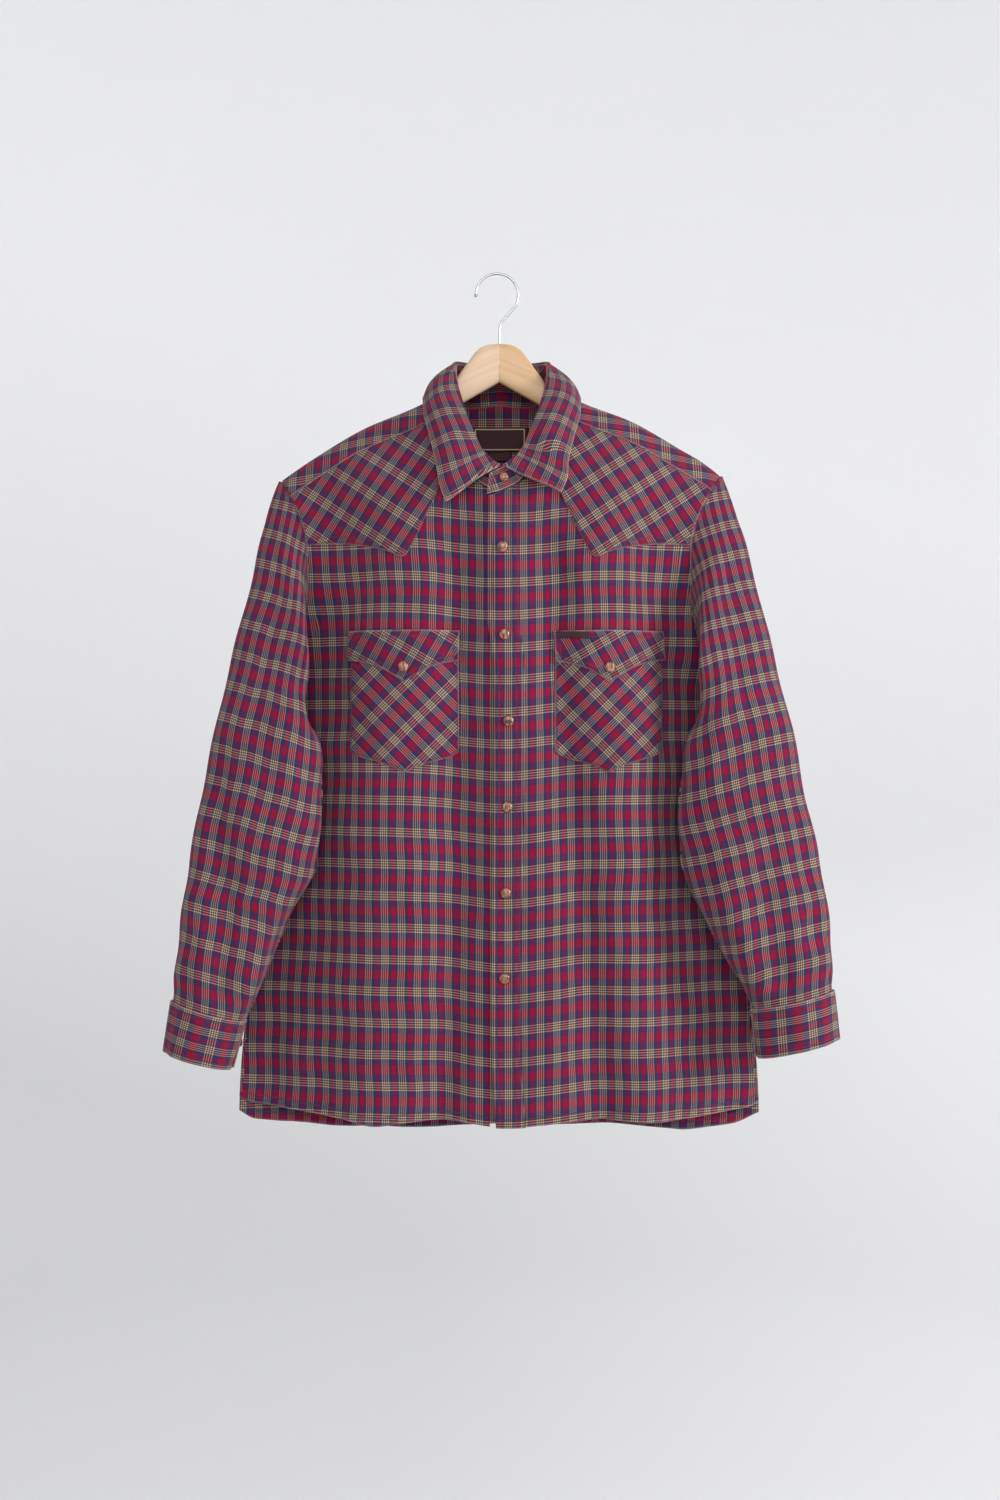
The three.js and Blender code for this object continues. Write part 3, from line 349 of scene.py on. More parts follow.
class Kit:
    """The nodes of one material."""

    def __init__(self, name):
        self.material = bpy.data.materials.new(name)
        self.material.use_nodes = True
        self.tree = self.material.node_tree
        self.tree.nodes.clear()

    def node(self, kind, settings=None, inputs=None):
        node = self.tree.nodes.new(kind)
        for key, value in (settings or {}).items():
            if key == "stops":
                ramp = node.color_ramp
                ramp.interpolation = settings.get("blend", "LINEAR")
                while len(ramp.elements) > 1:
                    ramp.elements.remove(ramp.elements[0])
                ramp.elements[0].position = value[0][0]
                ramp.elements[0].color = value[0][1]
                for place, colour in value[1:]:
                    ramp.elements.new(place).color = colour
            elif key != "blend":
                setattr(node, key, value)
        for key, value in (inputs or {}).items():
            if isinstance(value, Value):
                self.tree.links.new(value.socket, node.inputs[key])
            else:
                node.inputs[key].default_value = value
        return node

    def out(self, node, key=0):
        return Value(self, node.outputs[key])

    def uv(self, layer):
        return self.out(self.node("ShaderNodeUVMap", {"uv_map": layer}))

    def place(self):
        return self.out(self.node("ShaderNodeTexCoord"), "Object")

    def math(self, operation, *values):
        return self.out(self.node("ShaderNodeMath", {"operation": operation}, dict(enumerate(values))))

    def ramp(self, value, stops, blend="LINEAR"):
        node = self.node("ShaderNodeValToRGB", {"blend": blend, "stops": stops}, {0: value})
        return self.out(node)

    def blend(self, share, a, b, how="MIX"):
        settings = {"data_type": "RGBA", "blend_type": how}
        node = self.node("ShaderNodeMix", settings, {0: share, 6: a, 7: b})
        return self.out(node, 2)

    def noise(self, vector, scale, detail=2.0, rough=0.5):
        inputs = {"Vector": vector, "Scale": scale, "Detail": detail, "Roughness": rough}
        return self.out(self.node("ShaderNodeTexNoise", {}, inputs))

    def split(self, vector):
        node = self.node("ShaderNodeSeparateXYZ", {}, {0: vector})
        return self.out(node, 0), self.out(node, 1), self.out(node, 2)

    def join(self, x, y, z=0.0):
        return self.out(self.node("ShaderNodeCombineXYZ", {}, {0: x, 1: y, 2: z}))

    def finish(self, inputs, bump=None, bump_distance=0.001, bump_strength=1.0):
        if bump is not None:
            facts = {"Height": bump, "Distance": bump_distance, "Strength": bump_strength}
            inputs["Normal"] = self.out(self.node("ShaderNodeBump", {}, facts))
        shader = self.node("ShaderNodeBsdfPrincipled", {}, inputs)
        self.node("ShaderNodeOutputMaterial", {}, {"Surface": self.out(shader)})
        return self.material


def rgb(red, green, blue):
    """A colour as a screen shows it, 0 to 255, turned into the shader's linear one."""
    def linear(value):
        value = value / 255
        return value / 12.92 if value <= 0.04045 else ((value + 0.055) / 1.055) ** 2.4

    return (linear(red), linear(green), linear(blue), 1.0)


print("crimson in the shader:", [round(c, 3) for c in rgb(150, 25, 55)])

# %% [markdown]
# ## The check
# The cloth is a yarn-dyed twill: its colours are in the yarns and not printed on. So the
# pattern is made as on the loom. The warp colours follow one coordinate, the weft colours
# the other, and each is a ramp with hard stops over one repeat. The twill shows about as
# much of the one as of the other, so the two are mixed half and half, with a fine slanting
# rib that lets now the warp and now the weft come forward. The eye mixes such fine yarns as
# it sees them, so the yarn colours are mixed as shown and made linear only afterwards.

# %% Yarn colours and the two repeats
SHOWN_GAMMA = 2.2


def shown(red, green, blue):
    """A colour from 0 to 255 that stays as a screen shows it."""
    return (red / 255, green / 255, blue / 255, 1.0)


CRIMSON = shown(146, 20, 54)
NAVY = shown(46, 52, 90)
CREAM = shown(211, 176, 133)
DARK = shown(46, 50, 69)
WARP_CREAM = 0.46  # of each fine line's pitch
WARP_REPEAT = 18.0
WARP_LINE = 2.2
WEFT_CREAM = 0.4
WEFT_REPEAT = 34.4
WEFT_LINE = 2.7
FINE_LINES = 4


def stripe(repeat, line, cream, bands):
    """Fine cream lines first, then broad bands, as stops over one repeat."""
    stops = []
    for i in range(FINE_LINES):
        stops.append((i * line / repeat, CREAM))
        stops.append(((i + cream) * line / repeat, DARK))
    at = FINE_LINES * line
    for colour, wide in bands:
        stops.append((at / repeat, colour))
        at += wide
    return stops


WARP_STOPS = stripe(WARP_REPEAT, WARP_LINE, WARP_CREAM, [(NAVY, 2.4), (CRIMSON, 4.4), (NAVY, 2.4)])
WEFT_STOPS = stripe(WEFT_REPEAT, WEFT_LINE, WEFT_CREAM, [(NAVY, 7.0), (CRIMSON, 9.6), (NAVY, 7.0)])
print("stops in the warp and the weft:", len(WARP_STOPS), len(WEFT_STOPS))

# %% [markdown]
# Stitching follows a piece's edges, so each cloth piece carries its distance from its four
# edges in two more UV maps. A row of stitches is then a thin line at a set distance, broken
# into dashes by the distance along it. Turned edges rub pale first, which a little wear
# along every edge shows.

# %% Cloth material
TWILL_RIB = 1.3
RIB_CONTRAST = 0.3
YARN_WANDER = 1.6
SLUB_ACROSS = 1.1
SLUB_ALONG = 0.12
WEAR_REACH = 2.2
THREAD = rgb(96, 60, 78)
STITCH_HALF = 0.55
STITCH_PITCH = 3.1
STITCH_GAP = 0.28
SIDES = {"start": ("sides", 0), "end": ("sides", 1), "low": ("ends", 0), "high": ("ends", 1)}


def check_cloth(name, stitches=(), worn=("start", "end", "low", "high"), hems=()):
    kit = Kit(name)
    cloth = kit.uv("cloth")
    metres_u, metres_v, _ = kit.split(cloth)
    wander = kit.noise(cloth, 14.0) - 0.5
    at_u = metres_u / MM + wander * YARN_WANDER
    at_v = metres_v / MM + wander * YARN_WANDER
    warp = kit.ramp(kit.math("FRACT", at_u / WARP_REPEAT), WARP_STOPS, "CONSTANT")
    weft = kit.ramp(kit.math("FRACT", at_v / WEFT_REPEAT), WEFT_STOPS, "CONSTANT")
    rib = kit.math("FRACT", (at_u + at_v) / TWILL_RIB)
    rib = kit.math("ABSOLUTE", rib - 0.5) * 2
    forward = 0.5 + (rib - 0.5) * RIB_CONTRAST
    colour = kit.blend(forward, warp, weft)
    colour = kit.out(kit.node("ShaderNodeGamma", {}, {"Color": colour, "Gamma": SHOWN_GAMMA}))
    slub = kit.noise(kit.join(at_u * SLUB_ACROSS, at_v * SLUB_ALONG), 1.0)
    slub = slub + kit.noise(kit.join(at_u * SLUB_ALONG, at_v * SLUB_ACROSS), 1.0)
    fade = kit.noise(cloth, 9.0, 3.0)
    tone = 0.48 + slub * 0.16 + fade * 0.17
    colour = kit.blend(1.0, colour, kit.join(tone, tone, tone), "MULTIPLY")

    layers = {layer: kit.split(kit.uv(layer)) for layer in ("sides", "ends")}

    def distance(side):
        layer, axis = SIDES[side]
        return layers[layer][axis] / MM

    wear = None
    for side in worn:
        near = kit.math("SUBTRACT", 1.0, distance(side) / WEAR_REACH)
        near.socket.node.use_clamp = True
        wear = near if wear is None else kit.math("MAXIMUM", wear, near)
    if wear is not None:
        colour = kit.blend(wear * (0.15 + fade * 0.3), colour, rgb(190, 160, 160))

    height = rib * 0.25 + slub * 0.25
    for side, away in stitches:
        off = kit.math("ABSOLUTE", distance(side) - away)
        line = kit.math("LESS_THAN", off, STITCH_HALF)
        across = distance("start") if SIDES[side][0] == "ends" else distance("low")
        dash = kit.math("GREATER_THAN", kit.math("FRACT", across / STITCH_PITCH), STITCH_GAP)
        groove_and_shade = 1 - off / 2.0
        groove_and_shade.socket.node.use_clamp = True
        height = height - groove_and_shade * 1.0 + line * dash * 0.7
        # painted shade: each stitch groove also darkens the cloth's colour, standing in for the shade that
        # falls in it
        colour = kit.blend(groove_and_shade * 0.3, colour, rgb(40, 26, 44))
        colour = kit.blend(line * dash * 0.55, colour, THREAD)
    for side, away in hems:
        step = kit.math("LESS_THAN", distance(side), away)
        height = height + step * 0.8
    facts = {"Base Color": colour, "Roughness": 0.92, "Sheen Weight": 0.08, "Sheen Roughness": 0.5}
    facts["Specular IOR Level"] = 0.12
    return kit.finish(facts, height, 0.0006, 0.6)


PLAIN_CLOTH = check_cloth("check_cloth", worn=())
print("made", PLAIN_CLOTH.name)

# %% [markdown]
# ## Making a piece of cloth
# Every cloth piece is a grid that a function of two shares, u across and v along, lays in
# place, and a Solidify modifier gives it its thickness towards the inside. While the grid
# is laid, the distances over it are measured: they are the cloth's own flat coordinates,
# in which the check lies straight however the piece is bent, and they say how large the
# cut is.


# %% Flat coordinates
def steps(laid, axis):
    lengths = np.linalg.norm(np.diff(laid, axis=axis), axis=-1)
    start = np.zeros_like(np.take(lengths, [0], axis=axis))
    return np.concatenate([start, np.cumsum(lengths, axis=axis)], axis=axis)


def square_to(laid):
    """The direction square to the cloth at each point of the grid."""
    across = np.gradient(laid, axis=1)
    along = np.gradient(laid, axis=0)
    out = np.cross(across, along)
    return out / np.maximum(1e-9, np.linalg.norm(out, axis=-1, keepdims=True))


def turned(x, y, degrees):
    """Cloth coordinates whose warp leans by this angle to the right at its top."""
    lean = math.radians(degrees)
    return x * math.cos(lean) - y * math.sin(lean), x * math.sin(lean) + y * math.cos(lean)


# %% [markdown]
# Sewn edges pucker. The thread draws the cloth in, and it answers with small waves along the
# edge that die out within a centimetre or two. Their height and length vary, so two waves
# that drift against each other are used.

# %% Puckers
PUCKER_REACH = 9.0


def pucker(away, along, size):
    waves = np.sin(along / 1.9) * 0.5 + np.sin(along / 3.1 + 1.1) * 0.6 + np.sin(along / 7.3) * 0.5
    return size * waves * bell(away / PUCKER_REACH)


# %% Lay a piece
MADE = {}
SMALLEST_CUT = 0.0101


def finished(name, bm, *materials):
    mesh = bpy.data.meshes.new(name)
    bm.to_mesh(mesh)
    bm.free()
    for material in materials:
        mesh.materials.append(material)
    piece = bpy.data.objects.new(name, mesh)
    bpy.context.collection.objects.link(piece)
    return piece


def stand_in(piece, node):
    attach(piece, "root")
    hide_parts(node)
    MADE[node] = piece


def smooth_all(bm):
    for face in bm.faces:
        face.smooth = True


def lay(name, place, across, down, material, thick, flip=False, tube=False, flat=None,
        puckers=()):
    """One piece of cloth. place takes arrays of shares and gives points in millimetres."""
    share_u, share_v = np.meshgrid(np.linspace(0, 1, across + 1), np.linspace(0, 1, down + 1))
    laid = place(share_u, share_v)
    s, t = steps(laid, 1), steps(laid, 0)
    edges = {"start": s, "end": s[:, -1:] - s, "low": t, "high": t[-1:, :] - t}
    out = square_to(laid) * (-1 if flip else 1)
    for side, size in puckers:
        along = t if side in ("start", "end") else s
        laid = laid + out * pucker(edges[side], along, size)[..., None]
    cloth_u, cloth_v = flat(laid, s, t, share_u, share_v) if flat else (s, t)

    bm = bmesh.new()
    bmesh.ops.create_grid(bm, x_segments=across, y_segments=down, size=0.5)
    spot = {}
    for vert in bm.verts:
        spot[vert] = (round((vert.co.y + 0.5) * down), round((vert.co.x + 0.5) * across))
    maps = {
        "cloth": (cloth_u, cloth_v),
        "sides": (edges["start"], edges["end"]),
        "ends": (edges["low"], edges["high"]),
    }
    for layer, (first, second) in maps.items():
        uv = bm.loops.layers.uv.new(layer)
        for face in bm.faces:
            for loop in face.loops:
                row, column = spot[loop.vert]
                loop[uv].uv = (first[row, column] * MM, second[row, column] * MM)
    for vert, (row, column) in spot.items():
        vert.co = Vector(laid[row, column]) * MM
    if flip:
        bmesh.ops.reverse_faces(bm, faces=bm.faces)
    if tube:
        bmesh.ops.remove_doubles(bm, verts=bm.verts, dist=0.02 * MM)
    smooth_all(bm)
    area = sum(face.calc_area() for face in bm.faces)
    piece = finished(name + "_cloth", bm, material)
    wall = piece.modifiers.new("wall", "SOLIDIFY")
    wall.thickness = thick * MM
    wall.offset = -1
    stand_in(piece, name)
    cut = [max(SMALLEST_CUT, float(length) * MM) for length in (s[:, -1].max(), t[-1, :].max())]
    area = min(area, cut[0] * cut[1])
    print(f"{name}: cut {cut[0]:.3f} x {cut[1]:.3f} m, {area:.4f} m2")


# %% [markdown]
# ## Fronts and back
# Each front runs from the placket to the side seam and from its hem up to the yoke seam and
# the neck. Past the last free column the columns spread between there and the side edge, so
# that the side seam is one edge of the grid. The grid is fine enough for the creases.

# %% Body pieces
FREE = 195
OUTER = 289
SHOULDER_EDGE = 225
NECK_HALF = 62
YOKE_DROP = 27
HEM_FRONT = -927
CLOTH_WALL = 1.3
UNDERARM_EASE = 3
NECK = table(
    "out z",
    [(0, -248), (10, -243.5), (23, -236), (36, -216), (47, -188), (57, -156), (61, -139), (62, -128)],
)["z"]
HEM_EDGE = {
    "front": table(
        "x up",
        [
            (-289, 21), (-282, 17), (-244, 12), (-205, 8), (-166, 3), (-135, -3), (-101, 1.5),
            (-70, 3), (-31, 0), (0, -3.5), (26, -3), (65, 0.5), (111, 3), (142, 1.5), (173, 0),
            (219, 3), (278, 10), (289, 17),
        ],
    )["up"],
    "back": table(
        "x up",
        [
            (-289, 17), (-272, 7), (-217, 2), (-160, -2), (-90, -2.5), (0, 0), (100, 1),
            (185, -4), (205, -6), (225, -4), (262, 2), (289, 15),
        ],
    )["up"],
}
BACK_SEAM_OUT = [0, 41, 116, 240]
BACK_SEAM_Z = [-318, -301, -288, -276]


def yoke_seam(x):
    return RIDGE(x) - YOKE_DROP


def front_top(x):
    out = np.abs(x)
    neck = np.minimum(yoke_seam(x), NECK(out))
    return np.where(out < NECK_HALF, neck, yoke_seam(x)) - 3.2 * ease((out - FREE) / 20)


def back_seam(x):
    return np.interp(np.abs(x), BACK_SEAM_OUT, BACK_SEAM_Z)


def panel_edge(z):
    return BODY["side"](z) - UNDERARM_EASE * bell((z + 450) / 20)


def panel(face, start, end, hem, top):
    def place(u, v):
        guide = mix(start, end, u)
        out = np.abs(guide)
        reach = np.sign(guide) * np.minimum(out, SHOULDER_EDGE)
        z = mix(hem + HEM_EDGE[face](guide), top(reach), v)
        spread = np.sign(guide) * mix(FREE, panel_edge(z), (out - FREE) / (OUTER - FREE))
        x = np.where(out > FREE, spread, guide)
        return points(x, depth_at(face, x, z), z)

    return place


WEFT_PHASE = -4.0
BACK_WEFT = -9.5
BACK_WARP = 3.75
SAG = 9.0
SAG_WIDE = 62.0


def weft_level(x, z):
    """The weft sags towards the placket, where the weight of the snaps pulls."""
    return z + WEFT_PHASE + SAG * bell((x - 4) / SAG_WIDE)


def from_column(share, face, start=0.0):
    """Flat coordinates that start at one column of the grid, so that column is straight.
    A row of the grid may slant, so only its level travel counts, stretched by the slope."""
    def flat(laid, s, t, u, v):
        x, z = laid[..., 0], laid[..., 2]
        slope = slope_at(face, x, z, SLOPE_STEP, 0)
        stretch = np.sqrt(1 + np.clip(slope, -2, 2) ** 2)
        pace = (stretch[:, 1:] + stretch[:, :-1]) / 2 * np.diff(x, axis=1)
        travel = np.concatenate([np.zeros_like(x[:, :1]), np.cumsum(pace, axis=1)], axis=1)
        column = round(share * (x.shape[1] - 1))
        level = weft_level(x, z) if face == "front" else z + BACK_WEFT
        return travel - travel[:, column : column + 1] + start, level

    return flat


FRONT_CLOTH = check_cloth("front_cloth", [("low", 9.0)], worn=("low",), hems=[("low", 9.0)])
BACK_CLOTH = check_cloth("back_cloth", [("low", 9.0), ("high", 2.0)], worn=("low",), hems=[("low", 9.0)])
HEM_PUCKER = [("low", 0.5)]
lay("front_left", panel("front", -OUTER, -10, HEM_FRONT, front_top), 96, 230, FRONT_CLOTH,
    CLOTH_WALL, flat=from_column(1, "front", -2.75), puckers=HEM_PUCKER + [("start", 0.5)])
lay("front_right", panel("front", 12, OUTER, HEM_FRONT, front_top), 96, 230, FRONT_CLOTH,
    CLOTH_WALL, flat=from_column(0, "front", 7.05), puckers=HEM_PUCKER + [("end", 0.5)])
lay("back", panel("back", -OUTER, OUTER, HEM_BACK, back_seam), 150, 170, BACK_CLOTH,
    CLOTH_WALL, flip=True, flat=from_column(0.5, "back", BACK_WARP), puckers=[("low", 0.5), ("high", 0.4)])

# %% [markdown]
# ## Back yoke
# One piece covers the back of the shoulders, turns over the hanger and ends a little way
# down the front. It is laid by its way down from the ridge, with finer steps where the cloth
# turns. Its flat coordinates run from the ridge too, as the cut piece would unfold. Over
# the right shoulder its front strip is cut across, so there the two change places.

# %% Yoke over the shoulders
YOKE_ROWS = [
    (225, 225, 27),
    (195, 195, 27),
    (90, 90, 27),
    (77, 63.5, 27),
    (66, 63, 12),
    (58, 62.6, -1),
    (50, 58, -7),
    (41, 48, -20),
    (28, 32, -34),
    (14, 16, -41),
    (0, 0, -42.5),
]
MIRRORED_ROWS = [(-low, -high, start) for low, high, start in YOKE_ROWS]
YOKE_COLUMNS = np.array(MIRRORED_ROWS + YOKE_ROWS[::-1][1:], dtype=float)
YOKE_AT = YOKE_COLUMNS[:, 0]
RIDGE_EASE = 2.2
YOKE_WEFT = 1.3
YOKE_STRETCH = 0.96
STRIP_WARP = 1.2
STRIP_WEFT = -4.9


def signed_power(value, power):
    return np.sign(value) * np.abs(value) ** power


def shoulder_point(guide, way, lift):
    share = np.maximum(0, (np.abs(guide) - FREE) / (SHOULDER_EDGE - FREE))
    x = guide
    for _ in range(4):
        z = RIDGE(x) - np.abs(way)
        x = np.where(share > 0, np.sign(guide) * mix(FREE, BODY["side"](z), share), guide)
    z = RIDGE(x) - np.abs(way)
    y = np.where(way >= 0, depth_at("front", x, z) - lift, depth_at("back", x, z) + lift * 0.4)
    return points(x, y, z)


def yoke_way(u, v):
    low_x = mix(-SHOULDER_EDGE, SHOULDER_EDGE, u)
    high_x = np.interp(low_x, YOKE_AT, YOKE_COLUMNS[:, 1])
    start = np.interp(low_x, YOKE_AT, YOKE_COLUMNS[:, 2])
    end = back_seam(low_x) - RIDGE(low_x) - 1.5
    root_start = signed_power(start, 1 / RIDGE_EASE)
    root_end = signed_power(end, 1 / RIDGE_EASE)
    return mix(high_x, low_x, v), signed_power(mix(root_start, root_end, v), RIDGE_EASE)


def back_yoke(u, v):
    guide, way = yoke_way(u, v)
    over_front = 1.9 * ease(way / 8)
    return shoulder_point(guide, way, over_front + 0.9 * ease(-way / 20))


def unfold_yoke(laid, s, t, u, v):
    _, way = yoke_way(u, v)
    nearest = np.argmin(np.abs(way), axis=0)
    down_front = np.abs(t[nearest, np.arange(t.shape[1])] - t)
    x, z = laid[..., 0], laid[..., 2]
    level = np.where(way > 0, RIDGE(x) - down_front, z) + mix(YOKE_WEFT, BACK_WEFT, ease(-way / 60))
    crosswise = (way > 0) & (x > 0)
    along = x * YOKE_STRETCH + BACK_WARP
    return np.where(crosswise, level + STRIP_WARP, along), np.where(crosswise, x + STRIP_WEFT, level)


YOKE_CLOTH = check_cloth("yoke_cloth", [("low", 2.0), ("high", 2.0)], worn=("low", "high"))
lay("back_yoke", back_yoke, 150, 90, YOKE_CLOTH, CLOTH_WALL, flip=True, flat=unfold_yoke,
    puckers=[("low", 0.35), ("high", 0.35)])

# %% [markdown]
# ## Sleeves
# A sleeve is a tube of rings. Each ring has an outer and an inner end, bulges to the front
# and the back, and may be bowed where the armhole pulls it. The seam of the grid lies under
# the arm, as the sewn one does, and the check starts from the outer line and the cuff.

# %% Sleeve tables
RING = "s ox oz ix iz oy iy front back bow bow_back"
SLEEVES = {
    "left": table(
        RING,
        [
            (0, -241, -231, -240, -458, 0, 9, 24, 20, 30, 26),
            (0.06, -250, -252, -249, -472, -3, -2, 34, 24, 38, 22),
            (0.12, -258, -280, -243, -480, -7, -12, 38, 26, 43, 16),
            (0.2, -268, -326, -226, -486, -12, -20, 40, 27, 40, 8),
            (0.28, -281, -381, -210, -498, -18, -27, 39, 28, 26, 3),
            (0.36, -294, -435, -196, -508, -24, -30, 38, 29, 10, 0),
            (0.45, -309, -505, -191.5, -545, -29, -33, 37, 30, 0, 0),
            (0.56, -324, -579, -193, -600, -32, -35, 38, 31, 0, 0),
            (0.66, -335.5, -645, -198, -648, -34, -37, 39, 32, 0, 0),
            (0.75, -342, -690, -218, -686, -36, -38, 38, 33, 0, 0),
            (0.84, -347, -733, -241, -736, -38, -39, 37, 33, 0, 0),
            (0.93, -350.5, -770, -260, -784, -39, -39, 36, 33, 0, 0),
            (1, -352, -794, -275, -816, -39, -39, 34, 33, 0, 0),
        ],
    ),
    "right": table(
        RING,
        [
            (0, 245, -226, 240, -458, 0, 9, 24, 20, 30, 26),
            (0.06, 253, -245, 249, -472, -3, -2, 34, 24, 34, 22),
            (0.12, 263, -274, 243, -480, -7, -12, 38, 26, 36, 16),
            (0.2, 276, -320, 227, -486, -12, -20, 40, 27, 32, 8),
            (0.28, 290, -380, 213, -498, -18, -27, 39, 28, 18, 3),
            (0.36, 303, -436, 204, -508, -24, -30, 38, 29, 6, 0),
            (0.45, 319, -503, 198.5, -545, -29, -33, 37, 30, 0, 0),
            (0.56, 334, -582, 194.5, -598, -32, -35, 38, 31, 0, 0),
            (0.66, 347, -640, 197.5, -642, -34, -37, 39, 32, 0, 0),
            (0.75, 355, -690, 215, -690, -36, -38, 38, 33, 0, 0),
            (0.84, 359, -728, 240, -738, -38, -39, 37, 33, 0, 0),
            (0.93, 359.5, -762, 261, -774, -39, -39, 36, 33, 0, 0),
            (1, 360, -783, 275, -803, -39, -39, 34, 33, 0, 0),
        ],
    ),
}
SHOULDER_END = {"left": -240, "right": 244}
UNDERARM_Z = -457
ARMHOLE_HOLD = 0.1
CUFF_HOLD = 0.93
HEAD_PUFF = 5.5
HEAD_RISE = 0.02
HEAD_END = 0.12
CREASE = "from_turn from_s to_turn to_s wide deep".split()
SLEEVE_CREASES = {
    "left": [
        (0.155, 0.58, 0.31, 1, 0.045, 7),
        (0.34, 0.62, 0.4, 0.95, 0.045, -5),
        (0.25, 0.16, 0.35, 0.55, 0.05, -5),
        (0.12, 0.5, 0.17, 0.72, 0.03, 4),
        (0.7, 0.2, 0.62, 0.6, 0.05, 6),
        (0.85, 0.5, 0.75, 0.98, 0.05, 6),
        (0.1, 0.12, 0.2, 0.42, 0.02, 2.2),
        (0.2, 0.1, 0.3, 0.36, 0.02, 2.4),
        (0.08, 0.72, 0.2, 0.86, 0.018, -1.8),
        (0.22, 0.74, 0.36, 0.8, 0.016, 1.8),
        (0.14, 0.9, 0.2, 1, 0.016, 2.0),
        (0.26, 0.88, 0.27, 1, 0.014, 1.8),
        (0.06, 0.92, 0.07, 1, 0.014, 1.6),
    ],
    "right": [
        (0.2, 0.6, 0.3, 1, 0.045, 6),
        (0.32, 0.66, 0.38, 0.97, 0.045, -5),
        (0.22, 0.14, 0.34, 0.5, 0.05, -5),
        (0.1, 0.55, 0.14, 0.85, 0.035, 4),
        (0.72, 0.2, 0.63, 0.6, 0.05, 6),
        (0.86, 0.52, 0.77, 0.98, 0.05, 6),
        (0.1, 0.12, 0.22, 0.4, 0.02, 2.2),
        (0.18, 0.08, 0.3, 0.34, 0.02, 2.4),
        (0.1, 0.72, 0.22, 0.84, 0.018, -1.8),
        (0.24, 0.74, 0.36, 0.82, 0.016, 1.8),
        (0.14, 0.9, 0.19, 1, 0.016, 2.0),
        (0.25, 0.88, 0.27, 1, 0.014, 1.8),
        (0.07, 0.92, 0.07, 1, 0.014, 1.6),
    ],
}


def to_inner(angle):
    return (1 - np.cos(angle)) / 2


def armhole_point(hand, turn):
    sign = -1 if hand == "left" else 1
    angle = turn * 2 * np.pi
    z = mix(RIDGE(SHOULDER_END[hand]), UNDERARM_Z, to_inner(angle))
    low = to_inner(angle) ** 3
    side = BODY["side"](z)
    front = depth_at("front", sign * side, z)
    back = depth_at("back", sign * side, z)
    y = np.where(np.sin(angle) >= 0, front, back)
    tuck = (1 - to_inner(angle)) ** 14
    return points(sign * (side + mix(0.2, 2.0, low) - 1.6 * tuck), y, z - 2 * low + 0.8 * tuck)


def crease_depth(creases, turn, s):
    depth = 0
    for row in creases:
        crease = dict(zip(CREASE, row))
        t = (s - crease["from_s"]) / (crease["to_s"] - crease["from_s"])
        line = mix(crease["from_turn"], crease["to_turn"], np.clip(t, 0, 1))
        held = ease((t + 0.25) / 0.45) * ease((1.2 - t) / 0.35)
        depth = depth + crease["deep"] * held * bell((turn - line) / crease["wide"])
    return depth


def sleeve_point(hand, turn, s):
    sign = -1 if hand == "left" else 1
    rows = SLEEVES[hand]
    angle = turn * 2 * np.pi
    cos, sin = np.cos(angle), np.sin(angle)
    inner = to_inner(angle)
    bulge = np.where(sin >= 0, rows["front"](s), rows["back"](s))
    bow = np.where(sin >= 0, rows["bow"](s), rows["bow_back"](s)) * sin**2
    crease = crease_depth(SLEEVE_CREASES[hand], turn % 1, s)
    crease = crease + 0.9 * np.sin(s * 41 + turn * 17) * ease(s / 0.2)
    into_cuff = ease((s - CUFF_HOLD) / (1 - CUFF_HOLD))
    crease = crease * (1 - into_cuff)
    round_sin = mix(np.abs(sin) ** 0.85 * np.sign(sin), sin, into_cuff)
    spot = points(
        mix(rows["ox"](s), rows["ix"](s), inner) - sign * (bow + crease * cos),
        mix(rows["oy"](s), rows["iy"](s), inner) - (bulge - crease) * round_sin,
        mix(rows["oz"](s), rows["iz"](s), inner),
    )
    held = 1 - ease(s / ARMHOLE_HOLD)
    puff = HEAD_PUFF * (1 - inner) ** 6 * ease(s / HEAD_RISE) * (1 - ease(s / HEAD_END))
    spot = mix(spot, armhole_point(hand, turn), held[..., None])
    return spot + points(sign * puff, 0 * puff, 0.4 * puff)


# %% Sleeve pieces
def sleeve(hand):
    def place(u, v):
        return sleeve_point(hand, u + 0.5, v)

    return place


def from_cuff(laid, s, t, u, v):
    middle = s.shape[1] // 2
    return s - s[:, middle : middle + 1], t[-1:, :] - t


SLEEVE_CLOTH = check_cloth("sleeve_cloth", [("low", 3.0)], worn=("low",))
for hand in ("left", "right"):
    lay("sleeve_" + hand, sleeve(hand), 104, 190, SLEEVE_CLOTH, CLOTH_WALL, flip=hand == "left", tube=True,
        flat=from_cuff, puckers=[("low", 0.6), ("high", 0.4)])

# %% [markdown]
# ## Cuffs
# A cuff is a stiff straight band round the end of the sleeve. Its ends lap at the back and
# are held by one snap. The warp runs round the wrist here, so the two flat coordinates change
# places.

# %% Cuff pieces
CUFFS = {
    "left": ((-352.4, -794.6), (-275.6, -816.8), (-361, -847), (-290, -867)),
    "right": ((360.4, -783.5), (275, -803.6), (366, -834), (280, -855)),
}
CUFF_DEPTH = 34
CUFF_LOW_DEPTH = 35
CUFF_Y = -39
CUFF_SPLIT = 0.62
CUFF_ROUND = 0.1
CUFF_LAP = 2.5
CUFF_LIFT = 1.6
CUFF_RISE = 2.0  # the cuff's top edge comes over the end of the sleeve


